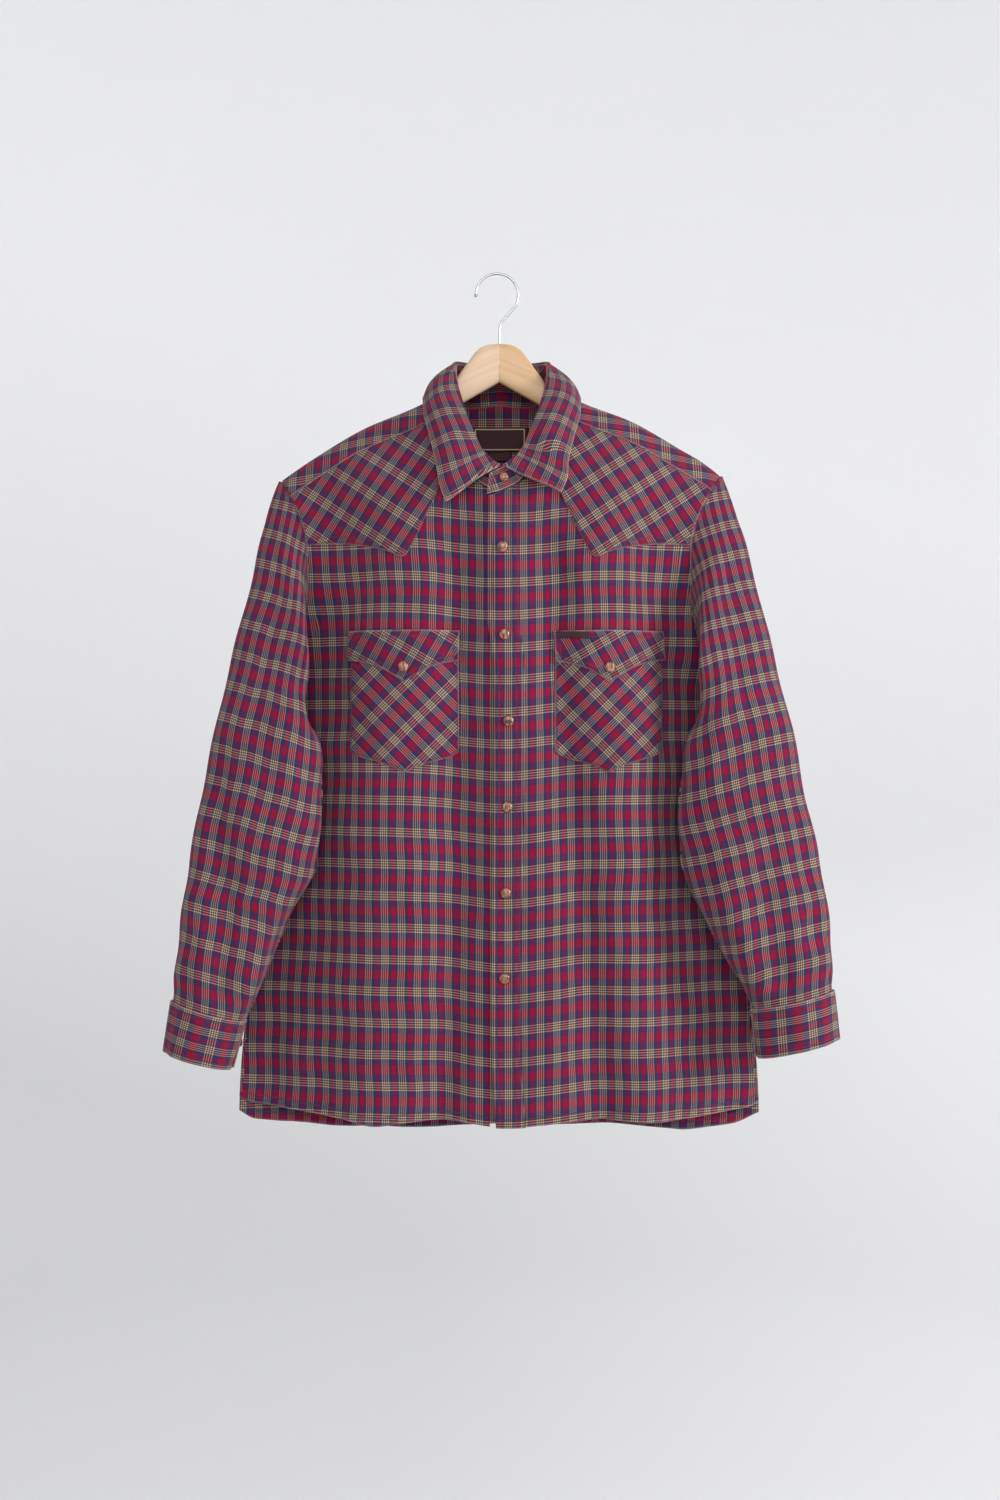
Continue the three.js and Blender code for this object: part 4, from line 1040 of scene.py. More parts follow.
def cuff_point(hand, turn, v, lift):
    outer, inner_end, low_outer, low_inner = CUFFS[hand]
    angle = turn * 2 * np.pi
    inner = to_inner(angle)
    sign = -1 if hand == "left" else 1
    x = mix(mix(outer[0], low_outer[0], v), mix(inner_end[0], low_inner[0], v), inner)
    outer_z = mix(outer[1] + CUFF_RISE, low_outer[1], v)
    inner_z = mix(inner_end[1] + CUFF_RISE, low_inner[1], v)
    z = mix(outer_z, inner_z, inner)
    deep = mix(CUFF_DEPTH, CUFF_LOW_DEPTH, v) + lift
    return points(x + sign * lift * np.cos(angle), CUFF_Y - deep * np.sin(angle), z)


def cuff(hand):
    def place(u, v):
        turn = CUFF_SPLIT - u * (1 + CUFF_ROUND)
        lapping = ease((u - 1 + 2 * CUFF_ROUND) / CUFF_ROUND)
        dent = 0.7 * np.sin(turn * 31 + v * 2) + 0.5 * np.sin(turn * 57)
        return cuff_point(hand, turn, v, CUFF_LIFT + lapping * CUFF_LAP + dent)

    return place


def round_the_wrist(laid, s, t, u, v):
    return t + 4, s


STIFF_WALL = 2.2
CUFF_STITCH = [("low", 5.5), ("high", 5.5), ("start", 5.5), ("end", 5.5)]
CUFF_CLOTH = check_cloth("cuff_cloth", CUFF_STITCH)
for hand in ("left", "right"):
    lay("cuff_" + hand, cuff(hand), 130, 26, CUFF_CLOTH, STIFF_WALL, flip=hand == "right",
        flat=round_the_wrist, puckers=[("low", 0.35), ("high", 0.35)])

SLIT_TURN = 0.64
SLIT_WIDE = 0.08
for hand in ("left", "right"):
    def slit(u, v, hand=hand):
        turn = SLIT_TURN + (u - 0.5) * SLIT_WIDE
        s = mix(0.8, 0.985, v)
        spot = sleeve_point(hand, turn, s)
        middle = points(np.mean(spot[..., 0]), CUFF_Y, spot[..., 2])
        out = spot - middle
        return spot + 2.3 * out / np.linalg.norm(out, axis=-1, keepdims=True)

    lay("sleeve_placket_" + hand, slit, 12, 40, CUFF_CLOTH, CLOTH_WALL, flip=hand == "left")

# %% [markdown]
# ## Placket, front yokes, pockets and flaps
# Each of these lies on the fronts, so each is laid from the same depth and moved out square
# to it by what is under it. Sewn edges are drawn down to the cloth below, and an open edge,
# as on the placket and the pocket's mouth, stays off it.

# %% Placket
PLACKET_EDGE = table(
    "z x",
    [(-930, -3), (-860, -7.5), (-790, -8.5), (-480, -4.5), (-430, -5.5), (-380, -10.5), (-250, -11)],
)["x"]
PLACKET_WIDTH = 32
PLACKET_TOP = -253
PLACKET_RISE = 14
PLACKET_LIFT = 2.7
PLACKET_LIP = 1.2
PLACKET_WARP = 11.75


def placket_front(u, v):
    low = HEM_FRONT - 0.6 + HEM_EDGE["front"](u * PLACKET_WIDTH - 4)
    z = mix(low, PLACKET_TOP + PLACKET_RISE * u, v)
    lip = PLACKET_LIP * bell(u / 0.12) * ease((z + 930) / 12)
    lift = mix(PLACKET_LIFT, 1.5, ease((u - 0.8) / 0.2)) + lip
    return on_face("front", PLACKET_EDGE(z) + u * PLACKET_WIDTH, z, lift)


def placket_under(u, v):
    z = mix(HEM_FRONT + 1, PLACKET_TOP + 3 + 4 * u, v)
    return on_face("front", mix(-10, 12, u), z, 0 * z)


def planar(lean, shift=(0.0, 0.0)):
    def flat(laid, s, t, u, v):
        along, level = turned(laid[..., 0], laid[..., 2], lean)
        return along + shift[0], level + shift[1]

    return flat


def down_the_placket(laid, s, t, u, v):
    return laid[..., 0] + PLACKET_WARP, weft_level(laid[..., 0], laid[..., 2])


PLACKET_CLOTH = check_cloth(
    "placket_cloth", [("end", 1.6), ("start", 6.0), ("low", 9.0), ("end", 9.0)], worn=("low", "high")
)
lay("placket_front", placket_front, 14, 240, PLACKET_CLOTH, CLOTH_WALL, flat=down_the_placket,
    puckers=[("start", 0.35), ("end", 0.45)])
lay("placket_under", placket_under, 8, 200, PLAIN_CLOTH, CLOTH_WALL, flat=down_the_placket)

# %% Front yokes
YOKE_EDGE = table(
    "out z",
    [
        (61, -226), (66, -248), (77, -271), (90, -298), (103, -316), (116, -311), (129, -307),
        (152, -302), (182, -299), (208, -300),
    ],
)["z"]
YOKE_BIAS = 34
YOKE_SHIFT = {"left": (-2.75, 12.1), "right": (-3.35, 12.7)}
YOKE_INNER = 62.5


def front_yoke(sign):
    def place(u, v):
        out = mix(YOKE_INNER, SHOULDER_EDGE, u)
        high = np.minimum(yoke_seam(sign * out), NECK(out)) + 1.5
        z = mix(YOKE_EDGE(out), high, v)
        share = np.maximum(0, (out - FREE) / (SHOULDER_EDGE - FREE))
        x = sign * np.where(out > FREE, mix(FREE, panel_edge(z), share), out)
        edge = np.minimum(v * (high - YOKE_EDGE(out)), (out - YOKE_INNER) * 1.5 + 1)
        lift = mix(1.5, 2.2, ease(edge / 7)) - 0.9 * ease((v - 0.9) / 0.1)
        return on_face("front", x, z, lift)

    return place


FRONT_YOKE_CLOTH = check_cloth("front_yoke_cloth", [("low", 1.6), ("low", 7.5)], worn=("low",))
for hand, sign in (("left", -1), ("right", 1)):
    lay("yoke_front_" + hand, front_yoke(sign), 84, 56, FRONT_YOKE_CLOTH, CLOTH_WALL, flip=sign < 0,
        flat=planar(-sign * YOKE_BIAS, YOKE_SHIFT[hand]), puckers=[("low", 0.45), ("high", 0.3)])

# %% Pockets, flaps and tab
POCKET_MIDDLE = {"left": -101.5, "right": 118.5}
POCKET_HALF = 58.5
POCKET_TILT = {"left": 0.0, "right": 0.01}
POCKET_TOP = -404
POCKET_LOW = table("out z", [(0, -547), (0.22, -540.5), (0.5, -535), (0.8, -530.5), (1, -524.5)])["z"]
FLAP_TOP = -393.5
FLAP_LOW = table("out z", [(0, -450), (0.22, -441), (0.45, -433), (0.7, -428.5), (1, -426)])["z"]
PATCH_LIFT = 2.6
FLAP_LIFT = 4.6
POCKET_BIAS = 45
POCKET_SHIFT = {"left": (-4.75, 12.7), "right": (-0.45, 16.8)}
FLAP_BIAS = 30


def patch(hand, high, low_edge, wider, lift_of):
    middle = POCKET_MIDDLE[hand]
    half_wide = POCKET_HALF + wider

    def place(u, v):
        x = middle + mix(-half_wide, half_wide, u)
        low = low_edge(np.abs(x - middle) / half_wide)
        z = mix(low, high, v) + POCKET_TILT[hand] * (x - middle)
        side = np.minimum(u, 1 - u) * 2 * half_wide
        return on_face("front", x, z, lift_of(side, v * (high - low), (1 - v) * (high - low)))

    return place


def pocket_lift(side, low, high):
    belly = 1.6 * ease(side / 30) * ease(low / 30)
    return 1.5 + (PATCH_LIFT - 1.5) * ease(np.minimum(side, low) / 6) + belly * 0.6


def flap_lift(side, low, high):
    spring = 1.2 * ease((20 - low) / 20) * ease((26 - side) / 26)
    return mix(FLAP_LIFT + spring, 2.8, ease((7 - high) / 6))


POCKET_CLOTH = check_cloth("pocket_cloth", [("start", 1.6), ("end", 1.6), ("low", 1.6)])
FLAP_CLOTH = check_cloth(
    "flap_cloth", [("high", 7.0), ("start", 6.0), ("end", 6.0), ("low", 6.0), ("low", 1.6)]
)
for hand, sign in (("left", -1), ("right", 1)):
    pocket = patch(hand, POCKET_TOP, POCKET_LOW, 0, pocket_lift)
    lay("pocket_" + hand, pocket, 44, 52, POCKET_CLOTH, CLOTH_WALL,
        flat=planar(sign * POCKET_BIAS, POCKET_SHIFT[hand]),
        puckers=[("start", 0.4), ("end", 0.4), ("low", 0.5)])
    flap = patch(hand, FLAP_TOP, FLAP_LOW, 1, flap_lift)
    lay("flap_" + hand, flap, 48, 22, FLAP_CLOTH, CLOTH_WALL,
        flat=planar(-sign * FLAP_BIAS), puckers=[("low", 0.4), ("high", 0.35)])

# %% [markdown]
# ## Labels
# The neck label, the size tab under it and the little tab on the flap are woven in dark
# maroon. The neck label has a pale border woven in. No words are on them.


# %% Label material
BORDER_HALF = 0.55


def woven_label(name, border):
    kit = Kit(name)
    cloth = kit.uv("cloth")
    along, up, _ = kit.split(cloth)
    rib = kit.math("ABSOLUTE", kit.math("FRACT", up / MM / 0.7) - 0.5)
    weave = kit.noise(cloth, 900.0, 3.0)
    colour = kit.blend(weave, rgb(38, 8, 16), rgb(62, 18, 28))
    if border:
        nearest = None
        for layer in ("sides", "ends"):
            first, second, _ = kit.split(kit.uv(layer))
            both = kit.math("MINIMUM", first, second)
            nearest = both if nearest is None else kit.math("MINIMUM", nearest, both)
        off = kit.math("ABSOLUTE", nearest / MM - border)
        line = kit.math("LESS_THAN", off, BORDER_HALF)
        colour = kit.blend(line * 0.8, colour, rgb(205, 180, 140))
    facts = {"Base Color": colour, "Roughness": 0.7, "Sheen Weight": 0.1, "Specular IOR Level": 0.35}
    return kit.finish(facts, rib + weave * 0.4, 0.0002, 0.5)


LABEL_WALL = 0.7
LABEL_CLOTH = woven_label("neck_label_cloth", 2.4)
TAB_CLOTH = woven_label("tab_cloth", 0)


def neck_label(middle, top, wide, high):
    def place(u, v):
        x = middle + (u - 0.5) * wide
        z = top - (1 - v) * high
        bow = 0.5 * np.sin(u * np.pi)
        return points(x, depth_at("back", x, z) - 2.9 - bow + 0.4 * v, z)

    return place


def tab(u, v):
    x = 79.5 + (u - 0.5) * 36
    z = -398 + (v - 0.5) * 7 - (u - 0.5) * 2.2
    return on_face("front", x, z, FLAP_LIFT + 1.3 + 0 * x)


lay("neck_label", neck_label(1, -163, 59, 27), 40, 24, LABEL_CLOTH, LABEL_WALL)
lay("size_tab", neck_label(1, -190.6, 26, 10), 16, 8, TAB_CLOTH, LABEL_WALL)
lay("pocket_tab", tab, 30, 8, TAB_CLOTH, LABEL_WALL)

# %% [markdown]
# ## Collar
# The stand rises from the neck seam to the fold line. The fall starts there: it rolls over
# the top of the stand in a small half round and then spreads to its points. The tables
# run from the middle of the back to the front end, for one half, and the right-hand end
# laps over the left-hand one.

# %% Collar tables
COLLAR_MIDDLE = 3
STAND = table(
    "at x y z fold_x fold_y fold_z",
    [
        (0, 0, 33.5, -141, 0, 28, -96),
        (0.14, 31, 31.5, -143.5, 27, 26, -95),
        (0.24, 51, 23.5, -138.5, 44, 18, -94.5),
        (0.33, 61, 4, -130.5, 51, 4, -98),
        (0.38, 61.3, -8, -131.5, 50.8, -5, -105.5),
        (0.42, 61.5, -20, -142, 50, -11, -113),
        (0.52, 56, -38, -153, 45, -28, -136),
        (0.68, 46, -64.5, -190, 35, -53, -169),
        (0.84, 25, -78.5, -233, 19, -72, -206),
        (0.95, 8, -83.5, -244.5, 4, -80, -220),
        (1.09, -13, -85, -251.5, -13, -83, -229),
    ],
)
FALL = table(
    "at x y z roll",
    [
        (0, 0, 41, -147, 5),
        (0.14, 38, 38, -145, 5),
        (0.24, 66, 23, -138, 5),
        (0.33, 84, 1, -136, 6),
        (0.42, 83, -33, -158, 7),
        (0.52, 78, -56, -184, 8),
        (0.68, 72, -74, -212, 8),
        (0.84, 67, -86, -238, 6),
        (0.97, 61, -93, -256, 3),
    ],
)
LAP_LIFT = 3.2
FALL_GAP = 3.2
FALL_END = 0.97
POINT_X = 2  # the right-hand point sits further out and higher
POINT_Z = 5
TURN_SHARE = 0.1  # how much of the fall's height is its roll over the stand


def lap_lift(at):
    return LAP_LIFT * ease((at - 0.76) / 0.14)


def stand_point(signed, v):
    sign = np.where(signed < 0, -1, 1)
    at = np.abs(signed)
    lapping = np.where(sign > 0, lap_lift(at), 0)
    x = sign * mix(STAND["x"](at), STAND["fold_x"](at), v) + COLLAR_MIDDLE * v
    y = mix(STAND["y"](at), STAND["fold_y"](at), v) - lapping
    return points(x, y, mix(STAND["z"](at), STAND["fold_z"](at), v))


def stand_out(signed):
    """Outwards from the stand, half way up it."""
    along = stand_point(signed + 0.02, 0.5) - stand_point(signed - 0.02, 0.5)
    up = stand_point(signed, 0.7) - stand_point(signed, 0.3)
    out = -np.cross(along, up)
    return out / np.linalg.norm(out, axis=-1, keepdims=True)


def fall_point(signed, v):
    sign = np.where(signed < 0, -1, 1)
    at = np.abs(signed)
    down = np.clip((v - TURN_SHARE) / (1 - TURN_SHARE), 0, 1)
    roll = np.clip(v / TURN_SHARE, 0, 1) * np.pi
    fold = points(sign * STAND["fold_x"](at), STAND["fold_y"](at), STAND["fold_z"](at))
    edge = points(sign * FALL["x"](at), FALL["y"](at), FALL["z"](at))
    lifted = FALL_GAP * (1 - np.cos(roll)) / 2 + FALL["roll"](at) * np.sin(np.pi * down)
    laid = mix(fold, edge, down[..., None]) + stand_out(signed) * lifted[..., None]
    laid[..., 2] += 2.2 * np.sin(roll)
    to_point = ease((down - 0.2) / 0.8) * ease((at - 0.6) / 0.37)
    laid[..., 0] += COLLAR_MIDDLE + POINT_X * to_point
    laid[..., 2] += sign * POINT_Z * to_point
    laid[..., 1] -= np.where(sign > 0, lap_lift(at), 0) * (1 - down)
    laid[..., 1] -= 1.2 * np.sin(at * 19 + sign) * down * ease((at - 0.3) / 0.3)
    return laid


def along_the_neck(laid, s, t, u, v):
    """The warp runs along the collar and the weft square to it, also where it widens."""
    middle = s.shape[1] // 2
    along = np.gradient(laid, axis=1)
    along = along / np.linalg.norm(along, axis=-1, keepdims=True)
    pace = (along[1:] + along[:-1]) / 2
    drift = np.sum(pace * np.diff(laid, axis=0), axis=-1)
    drift = np.concatenate([np.zeros_like(drift[:1]), np.cumsum(drift, axis=0)])
    return t, s[:1, :] - s[:1, middle : middle + 1] + drift


def stand(u, v):
    return stand_point(mix(-0.96, 1.09, u), v)


def fall(u, v):
    return fall_point(mix(-FALL_END, FALL_END, u), 1 - v)


# %% Collar pieces
COLLAR_CLOTH = check_cloth(
    "collar_cloth", [("low", 6.0), ("start", 6.0), ("end", 6.0)], worn=("low", "start", "end")
)
STAND_CLOTH = check_cloth("stand_cloth", [("low", 2.0), ("end", 5.0), ("high", 4.0)])
lay("collar_stand", stand, 150, 16, STAND_CLOTH, STIFF_WALL, flip=True, flat=along_the_neck,
    puckers=[("low", 0.3)])
lay("collar_fall", fall, 170, 40, COLLAR_CLOTH, STIFF_WALL, flip=True, flat=along_the_neck,
    puckers=[("low", 0.3), ("start", 0.3), ("end", 0.3)])

# %% [markdown]
# ## Snaps
# Each snap is a horn-like cap held in an antique copper rim. One profile spun round gives
# both; the faces of the cap get the cap's material and the others the rim's. It is set square
# to the cloth under it.


# %% Snap materials
def horn():
    kit = Kit("horn_cap")
    x, y, z = kit.split(kit.place())
    streaks = kit.noise(kit.join(x * 1.0, y * 1.0, z * 0.4), 420.0, 3.0)
    stops = [(0.32, rgb(58, 34, 30)), (0.46, rgb(122, 76, 58)), (0.62, rgb(164, 116, 92))]
    colour = kit.ramp(streaks, stops)
    return kit.finish({"Base Color": colour, "Roughness": 0.28, "Coat Weight": 0.3})


def copper():
    kit = Kit("antique_copper")
    spot = kit.place()
    worn = kit.noise(spot, 500.0, 3.0)
    colour = kit.ramp(worn, [(0.35, rgb(70, 40, 32)), (0.65, rgb(132, 84, 64))])
    return kit.finish({"Base Color": colour, "Roughness": 0.34 + worn * 0.15, "Metallic": 1.0})


HORN = horn()
COPPER = copper()
SNAP_PROFILE = [
    (0, 2.9), (0.3, 2.8), (0.55, 2.5), (0.74, 2.0), (0.83, 1.55), (0.87, 1.3), (0.9, 1.5),
    (0.95, 1.5), (1.0, 1.1), (0.97, 0.5), (0.88, 0.0), (0, 0.0),
]
CAP_SHARE = 0.86
SNAP_SIDES = 40


def spun(profile, sides, close):
    """A profile of distance and height, spun once round the upright axis."""
    bm = bmesh.new()
    line = [bm.verts.new((away, 0, high)) for away, high in profile]
    links = [bm.edges.new(pair) for pair in zip(line, line[1:])]
    bmesh.ops.spin(bm, geom=line + links, cent=(0, 0, 0), axis=(0, 0, 1), angle=2 * math.pi,
                   steps=sides, use_merge=True)
    bmesh.ops.remove_doubles(bm, verts=bm.verts, dist=close)
    bmesh.ops.recalc_face_normals(bm, faces=bm.faces)
    smooth_all(bm)
    return bm


def snap(name, spot, out, radius):
    bm = spun([(share * radius, high) for share, high in SNAP_PROFILE], SNAP_SIDES, 1e-4)
    for face in bm.faces:
        middle = face.calc_center_median()
        cap = math.hypot(middle.x, middle.y) < CAP_SHARE * radius and middle.z > 1
        face.material_index = 0 if cap else 1
    turn = Vector((0, 0, 1)).rotation_difference(Vector(out))
    for vert in bm.verts:
        vert.co = (turn @ vert.co + Vector(spot)) * MM
    stand_in(finished(name + "_cap", bm, HORN, COPPER), name)


# %% Set the snaps
SNAP_RADIUS = 6
STAND_SNAP_RADIUS = 5
CUFF_SNAP_RADIUS = 5.5
SNAP_FIRST = -306
SNAP_PITCH = 92.5
SNAPS_DOWN = 6
FLAP_SNAP_Z = -433


def front_out(x, z):
    x, z = np.array(x), np.array(z)
    return on_face("front", x, z, 1.0) - on_face("front", x, z, 0.0)


for i in range(SNAPS_DOWN):
    z = SNAP_FIRST - i * SNAP_PITCH
    x = float(PLACKET_EDGE(z)) + PLACKET_WIDTH * 0.46
    spot = on_face("front", np.array(x), np.array(z), PLACKET_LIFT + 0.1)
    snap(f"snap_placket_{i + 1}", spot, front_out(x, z), SNAP_RADIUS)
for hand, x in POCKET_MIDDLE.items():
    spot = on_face("front", np.array(x), np.array(FLAP_SNAP_Z), FLAP_LIFT + 0.1)
    snap("snap_flap_" + hand, spot, front_out(x, FLAP_SNAP_Z), SNAP_RADIUS)
stand_at = np.array(0.965)
snap("snap_stand", stand_point(stand_at, 0.5) + 0.2 * stand_out(stand_at), stand_out(stand_at),
     STAND_SNAP_RADIUS)
CUFF_SNAP_TURN = CUFF_SPLIT - 0.05
for hand in ("left", "right"):
    near = cuff_point(hand, CUFF_SNAP_TURN, 0.5, CUFF_LIFT + CUFF_LAP)
    far = cuff_point(hand, CUFF_SNAP_TURN, 0.5, CUFF_LIFT + CUFF_LAP + 5)
    snap("snap_cuff_" + hand, near, far - near, CUFF_SNAP_RADIUS)
print("snaps:", sum(name.startswith("snap_") for name in MADE))

# %% [markdown]
# ## Hanger
# The hanger is two shaped halves glued together in the middle: the left one is paler and
# pinker and the right one more golden, and the joint shows as a fine line. Part of the
# paleness of the left half and the darkness of the right is painted light, as if the
# halves faced the key light differently. Each is a bar whose rounded section follows a
# table of its top and bottom. The grain runs along the arm.


# %% Wood
def wood(name, pale, golden, dark):
    kit = Kit(name)
    spot = kit.place()
    x, y, z = kit.split(spot)
    drop = kit.math("ABSOLUTE", x) * 0.45
    along = z + drop
    wander = kit.noise(kit.join(x * 6, y * 20, along * 20), 1.0, 3.0)
    grain = kit.noise(kit.join(x * 14, y * 260, (along + wander * 0.004) * 260), 1.0, 4.0, 0.6)
    pores = kit.noise(kit.join(x * 60, y * 1500, along * 1500), 1.0, 2.0)
    colour = kit.blend(grain, pale, golden)
    ring = kit.ramp(kit.noise(kit.join(x * 5, y * 90, (along + wander * 0.008) * 90), 1.0, 3.0),
                    [(0.46, (0, 0, 0, 1)), (0.56, (1, 1, 1, 1)), (0.66, (0, 0, 0, 1))])
    colour = kit.blend(ring * 0.35, colour, dark)
    colour = kit.blend(pores * 0.18, colour, dark)
    return kit.finish({"Base Color": colour, "Roughness": 0.42 + grain * 0.12, "Coat Weight": 0.12},
                      grain + pores * 0.5, 0.0001, 0.4)


# partly painted light: on top of the two woods' own colours, the left half is painted paler as if it faced
# the key light from the right, and the right half darker as if turned from it
WOOD_PALE_AND_PAINTED_LIT = wood("wood_pale_and_painted_lit", rgb(202, 177, 150), rgb(194, 163, 132), rgb(177, 140, 109))
WOOD_GOLDEN_AND_PAINTED_SHADE = wood("wood_golden_and_painted_shade", rgb(195, 164, 124), rgb(185, 148, 104), rgb(162, 119, 79))

# %% Hanger halves
ARM = table(
    "x top low",
    [
        (0.2, -76, -118.5),
        (9, -76.5, -123.5),
        (17, -78.5, -128),
        (25, -84, -132.5),
        (32, -93, -136.5),
        (39, -103, -140.5),
        (48, -115, -146),
        (58, -131, -153),
        (68, -137, -160),
    ],
)
ARM_TIP = 212
ARM_THICK = 6.2
ARM_GAP = 2.8
ARM_FROM = 68
ARM_BLEND = 95
ARM_SIDES = 36
ARM_STEPS = 110


def arm_edges(sign, x):
    far_top = RIDGE(sign * x) - ARM_GAP - 3 * ease((x - 150) / 50)
    far_low = far_top - mix(24, 17, (x - ARM_BLEND) / (ARM_TIP - ARM_BLEND))
    share = ease((x - ARM_FROM) / (ARM_BLEND - ARM_FROM))
    return mix(ARM["top"](x), far_top, share), mix(ARM["low"](x), far_low, share)


def hanger_half(name, sign, material):
    bm = bmesh.new()
    bmesh.ops.create_grid(bm, x_segments=ARM_STEPS, y_segments=ARM_SIDES, size=0.5)
    for vert in bm.verts:
        u, turn = vert.co.x + 0.5, (vert.co.y + 0.5) * 2 * math.pi
        x = mix(0.1, ARM_TIP, u)
        tip = math.sqrt(max(0.0, 1 - ease((x - ARM_TIP + 8) / 8) ** 2))
        top, low = (float(edge) for edge in arm_edges(sign, np.array(x)))
        side = signed_power(math.cos(turn), 0.6)
        up = signed_power(math.sin(turn), 0.6)
        narrow = (1 - 0.35 * ease((x - 190) / (ARM_TIP - 190))) * max(tip, 0.02)
        middle, tall = (top + low) / 2, (top - low) / 2 * max(tip, 0.02)
        vert.co = Vector((sign * x, ARM_THICK * narrow * side, middle + tall * up)) * MM
    bmesh.ops.remove_doubles(bm, verts=bm.verts, dist=0.01 * MM)
    bmesh.ops.holes_fill(bm, edges=[edge for edge in bm.edges if edge.is_boundary], sides=0)
    bmesh.ops.recalc_face_normals(bm, faces=bm.faces)
    ends = {edge for face in bm.faces if len(face.verts) > 4 for edge in face.edges}
    bmesh.ops.split_edges(bm, edges=list(ends))
    for face in bm.faces:
        face.smooth = len(face.verts) < 5
    stand_in(finished(name + "_bar", bm, material), name)


hanger_half("hanger_left", -1, WOOD_PALE_AND_PAINTED_LIT)
hanger_half("hanger_right", 1, WOOD_GOLDEN_AND_PAINTED_SHADE)
print("hanger span:", 2 * ARM_TIP)

# %% [markdown]
# ## Hook
# The hook is bent from chromed wire: a straight stem, a small offset and a round bend. A
# curve through the same points with a round bevel gives it, and a bead closes its tip.

# %% Hook piece
WIRE = 1.35
HOOK_RADIUS = 21.9
HOOK_CENTRE = (-2.2, -21.9)
HOOK_STEM = [(0.6, -75.5), (0.7, -62), (1.9, -53.5), (6, -48), (12, -41.5), (17.6, -35)]
HOOK_DEGREES = [-12, 8, 28, 48, 68, 88, 108, 128, 148, 168, 181]


def chrome():
    kit = Kit("hook_chrome")
    spot = kit.place()
    smear = kit.noise(spot, 220.0, 3.0)
    facts = {"Base Color": (0.4, 0.41, 0.43, 1), "Metallic": 1.0, "Roughness": 0.16 + smear * 0.14}
    return kit.finish(facts)


hook_line = [Vector((x, 0, z)) for x, z in HOOK_STEM]
for degrees in HOOK_DEGREES:
    reach, angle = HOOK_RADIUS + WIRE, math.radians(degrees)
    bend = Vector((reach * math.cos(angle), 0, reach * math.sin(angle)))
    hook_line.append(Vector((HOOK_CENTRE[0], 0, HOOK_CENTRE[1])) + bend)
hook_curve = bpy.data.curves.new("hook_wire", "CURVE")
hook_curve.dimensions = "3D"
hook_curve.bevel_depth = WIRE * MM
hook_curve.bevel_resolution = 6
hook_curve.resolution_u = 10
hook_curve.use_fill_caps = True
spline = hook_curve.splines.new("BEZIER")
spline.bezier_points.add(len(hook_line) - 1)
for knot, spot in zip(spline.bezier_points, hook_line):
    knot.co = spot * MM
    knot.handle_left_type = knot.handle_right_type = "AUTO"
bent = bpy.data.objects.new("hook_wire", hook_curve)
bpy.context.collection.objects.link(bent)
wire_mesh = bpy.data.meshes.new_from_object(bent.evaluated_get(bpy.context.evaluated_depsgraph_get()))
bpy.data.objects.remove(bent)
bm = bmesh.new()
bm.from_mesh(wire_mesh)
bead = bmesh.ops.create_uvsphere(bm, u_segments=20, v_segments=12, radius=WIRE * 1.5 * MM)
bmesh.ops.translate(bm, verts=bead["verts"], vec=hook_line[-1] * MM)
smooth_all(bm)
hook = finished("hook_bent", bm, chrome())
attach(hook, "root")
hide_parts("hook")
print("hook points:", len(hook_line))
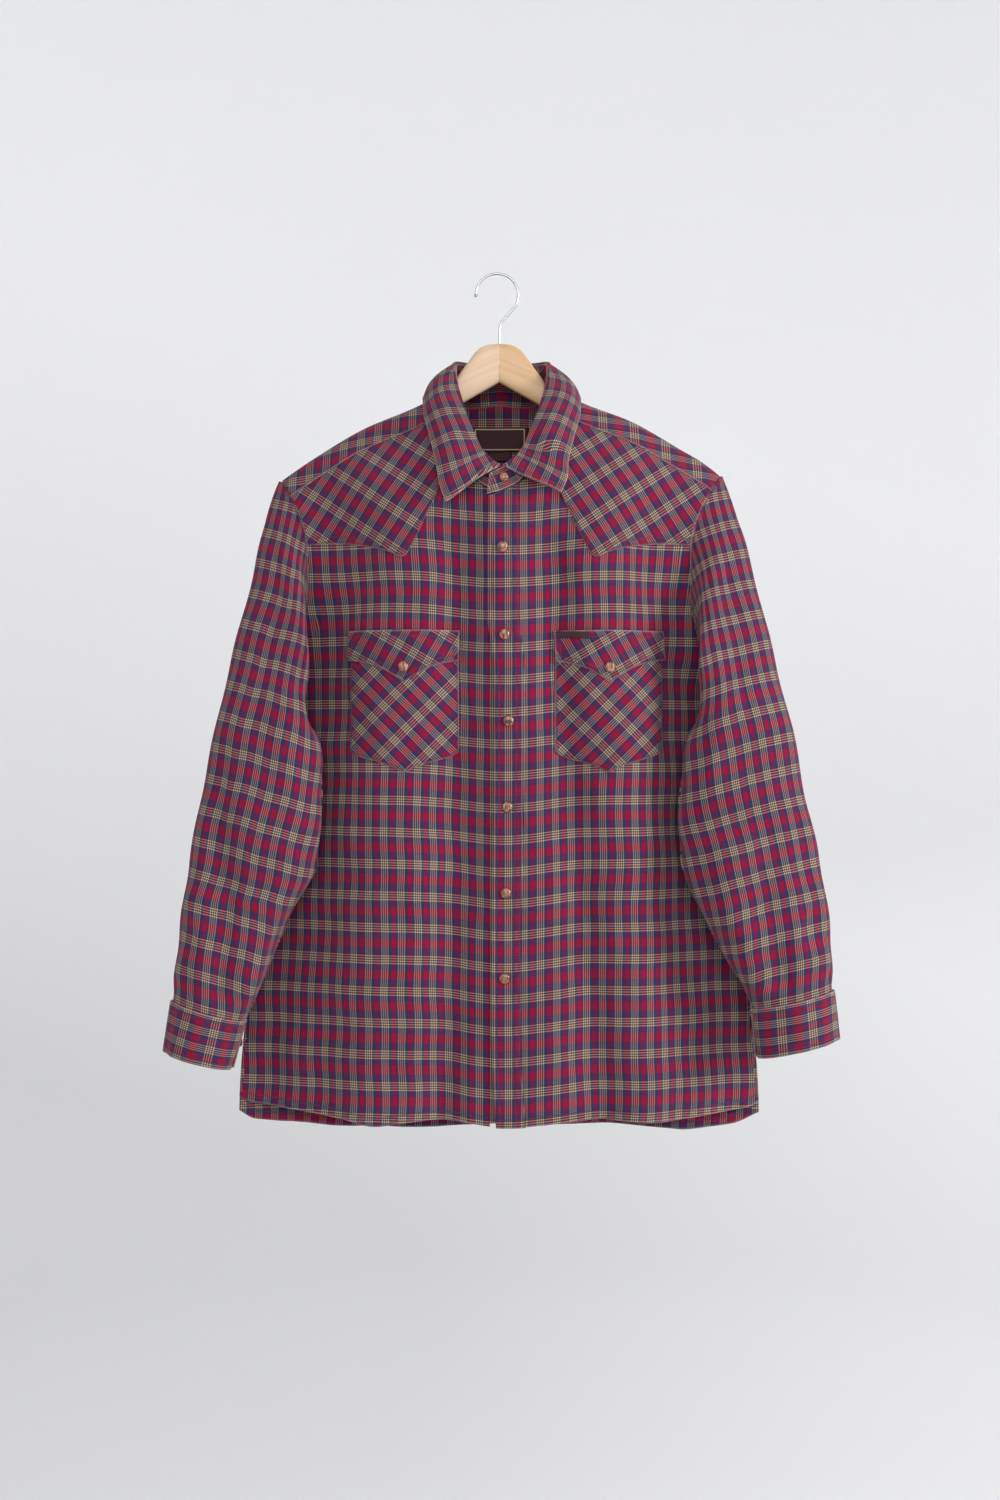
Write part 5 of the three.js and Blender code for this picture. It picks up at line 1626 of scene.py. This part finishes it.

# %% [markdown]
# ## The studio
# A pale sweep stands all round, far enough off for every view. Its floor runs up into its
# wall in one curve. Painted shade in its colour makes it a little darker towards the floor
# and the left. The key light is large and comes from the right, which leaves the cloth's
# left-facing slopes darker. Weaker lights from the front, the left and the back, and the
# pale room, fill the shadows.

# %% Backdrop
FLOOR_Z = -1.75
SWEEP_IN = 2.6
SWEEP_BEND = 1.9
SWEEP_TOP = 4.2
SWEEP_STEPS = 14
SWEEP_SIDES = 96
sweep_line = [(0, FLOOR_Z), (SWEEP_IN, FLOOR_Z)]
for i in range(1, SWEEP_STEPS + 1):
    angle = math.pi / 2 * i / SWEEP_STEPS
    rise = SWEEP_BEND * (1 - math.cos(angle))
    sweep_line.append((SWEEP_IN + SWEEP_BEND * math.sin(angle), FLOOR_Z + rise))
sweep_line.append((SWEEP_IN + SWEEP_BEND, SWEEP_TOP))
bm = spun(sweep_line, SWEEP_SIDES, 1e-5)
bmesh.ops.reverse_faces(bm, faces=bm.faces)
sweep = finished("sweep", bm)
sweep_kit = Kit("sweep_paper")
sweep_spot = sweep_kit.place()
sweep_tone = sweep_kit.noise(sweep_spot, 0.6)
sweep_colour = sweep_kit.blend(sweep_tone, (0.895, 0.895, 0.9, 1), (0.92, 0.92, 0.92, 1))
sweep_right, _, sweep_up = sweep_kit.split(sweep_spot)
# painted shade: this ramp darkens the sweep's colour towards the floor and the left, where the key light
# from the right falls weaker
sweep_shade_stops = [(0.1, (0.66, 0.66, 0.66, 1)), (0.35, (0.89, 0.89, 0.89, 1)), (0.7, (1, 1, 1, 1))]
sweep_painted_shade = sweep_kit.ramp((sweep_up + sweep_right * 0.3 + 2.2) / 4, sweep_shade_stops)
sweep_colour = sweep_kit.blend(1.0, sweep_colour, sweep_painted_shade, "MULTIPLY")
sweep.data.materials.append(sweep_kit.finish({"Base Color": sweep_colour, "Roughness": 0.9}))


# %% Lights
def area_light(name, place, size, power, colour=(1, 1, 1)):
    data = bpy.data.lights.new(name, "AREA")
    data.shape = "RECTANGLE"
    data.size, data.size_y = size
    data.energy = power
    data.color = colour
    light = bpy.data.objects.new(name, data)
    light.location = place
    aim = Vector((0, 0, -0.55)) - Vector(place)
    light.rotation_euler = aim.to_track_quat("-Z", "Y").to_euler()
    bpy.context.collection.objects.link(light)


area_light("key", (3.0, -1.5, 0.3), (0.9, 1.2), 92, (1.0, 0.985, 0.975))
area_light("front_fill", (0.2, -3.4, 0.7), (1.6, 1.6), 46, (0.99, 0.99, 1.0))
area_light("left_fill", (-2.7, -2.0, 0.3), (1.6, 1.6), 14, (0.97, 0.985, 1.0))
area_light("back_fill", (0.4, 3.0, 1.2), (2.6, 2.0), 40)
world = bpy.data.worlds.new("room")
bpy.context.scene.world = world
world.use_nodes = True
room = world.node_tree.nodes["Background"]
room.inputs["Color"].default_value = (0.93, 0.95, 1.0, 1)
room.inputs["Strength"].default_value = 0.62
bpy.context.scene.view_settings.view_transform = "Standard"
print("lights set")

# %% Sizes and finish
print("triangles:", sum(len(p.data.polygons) * 2 for p in MADE.values()))
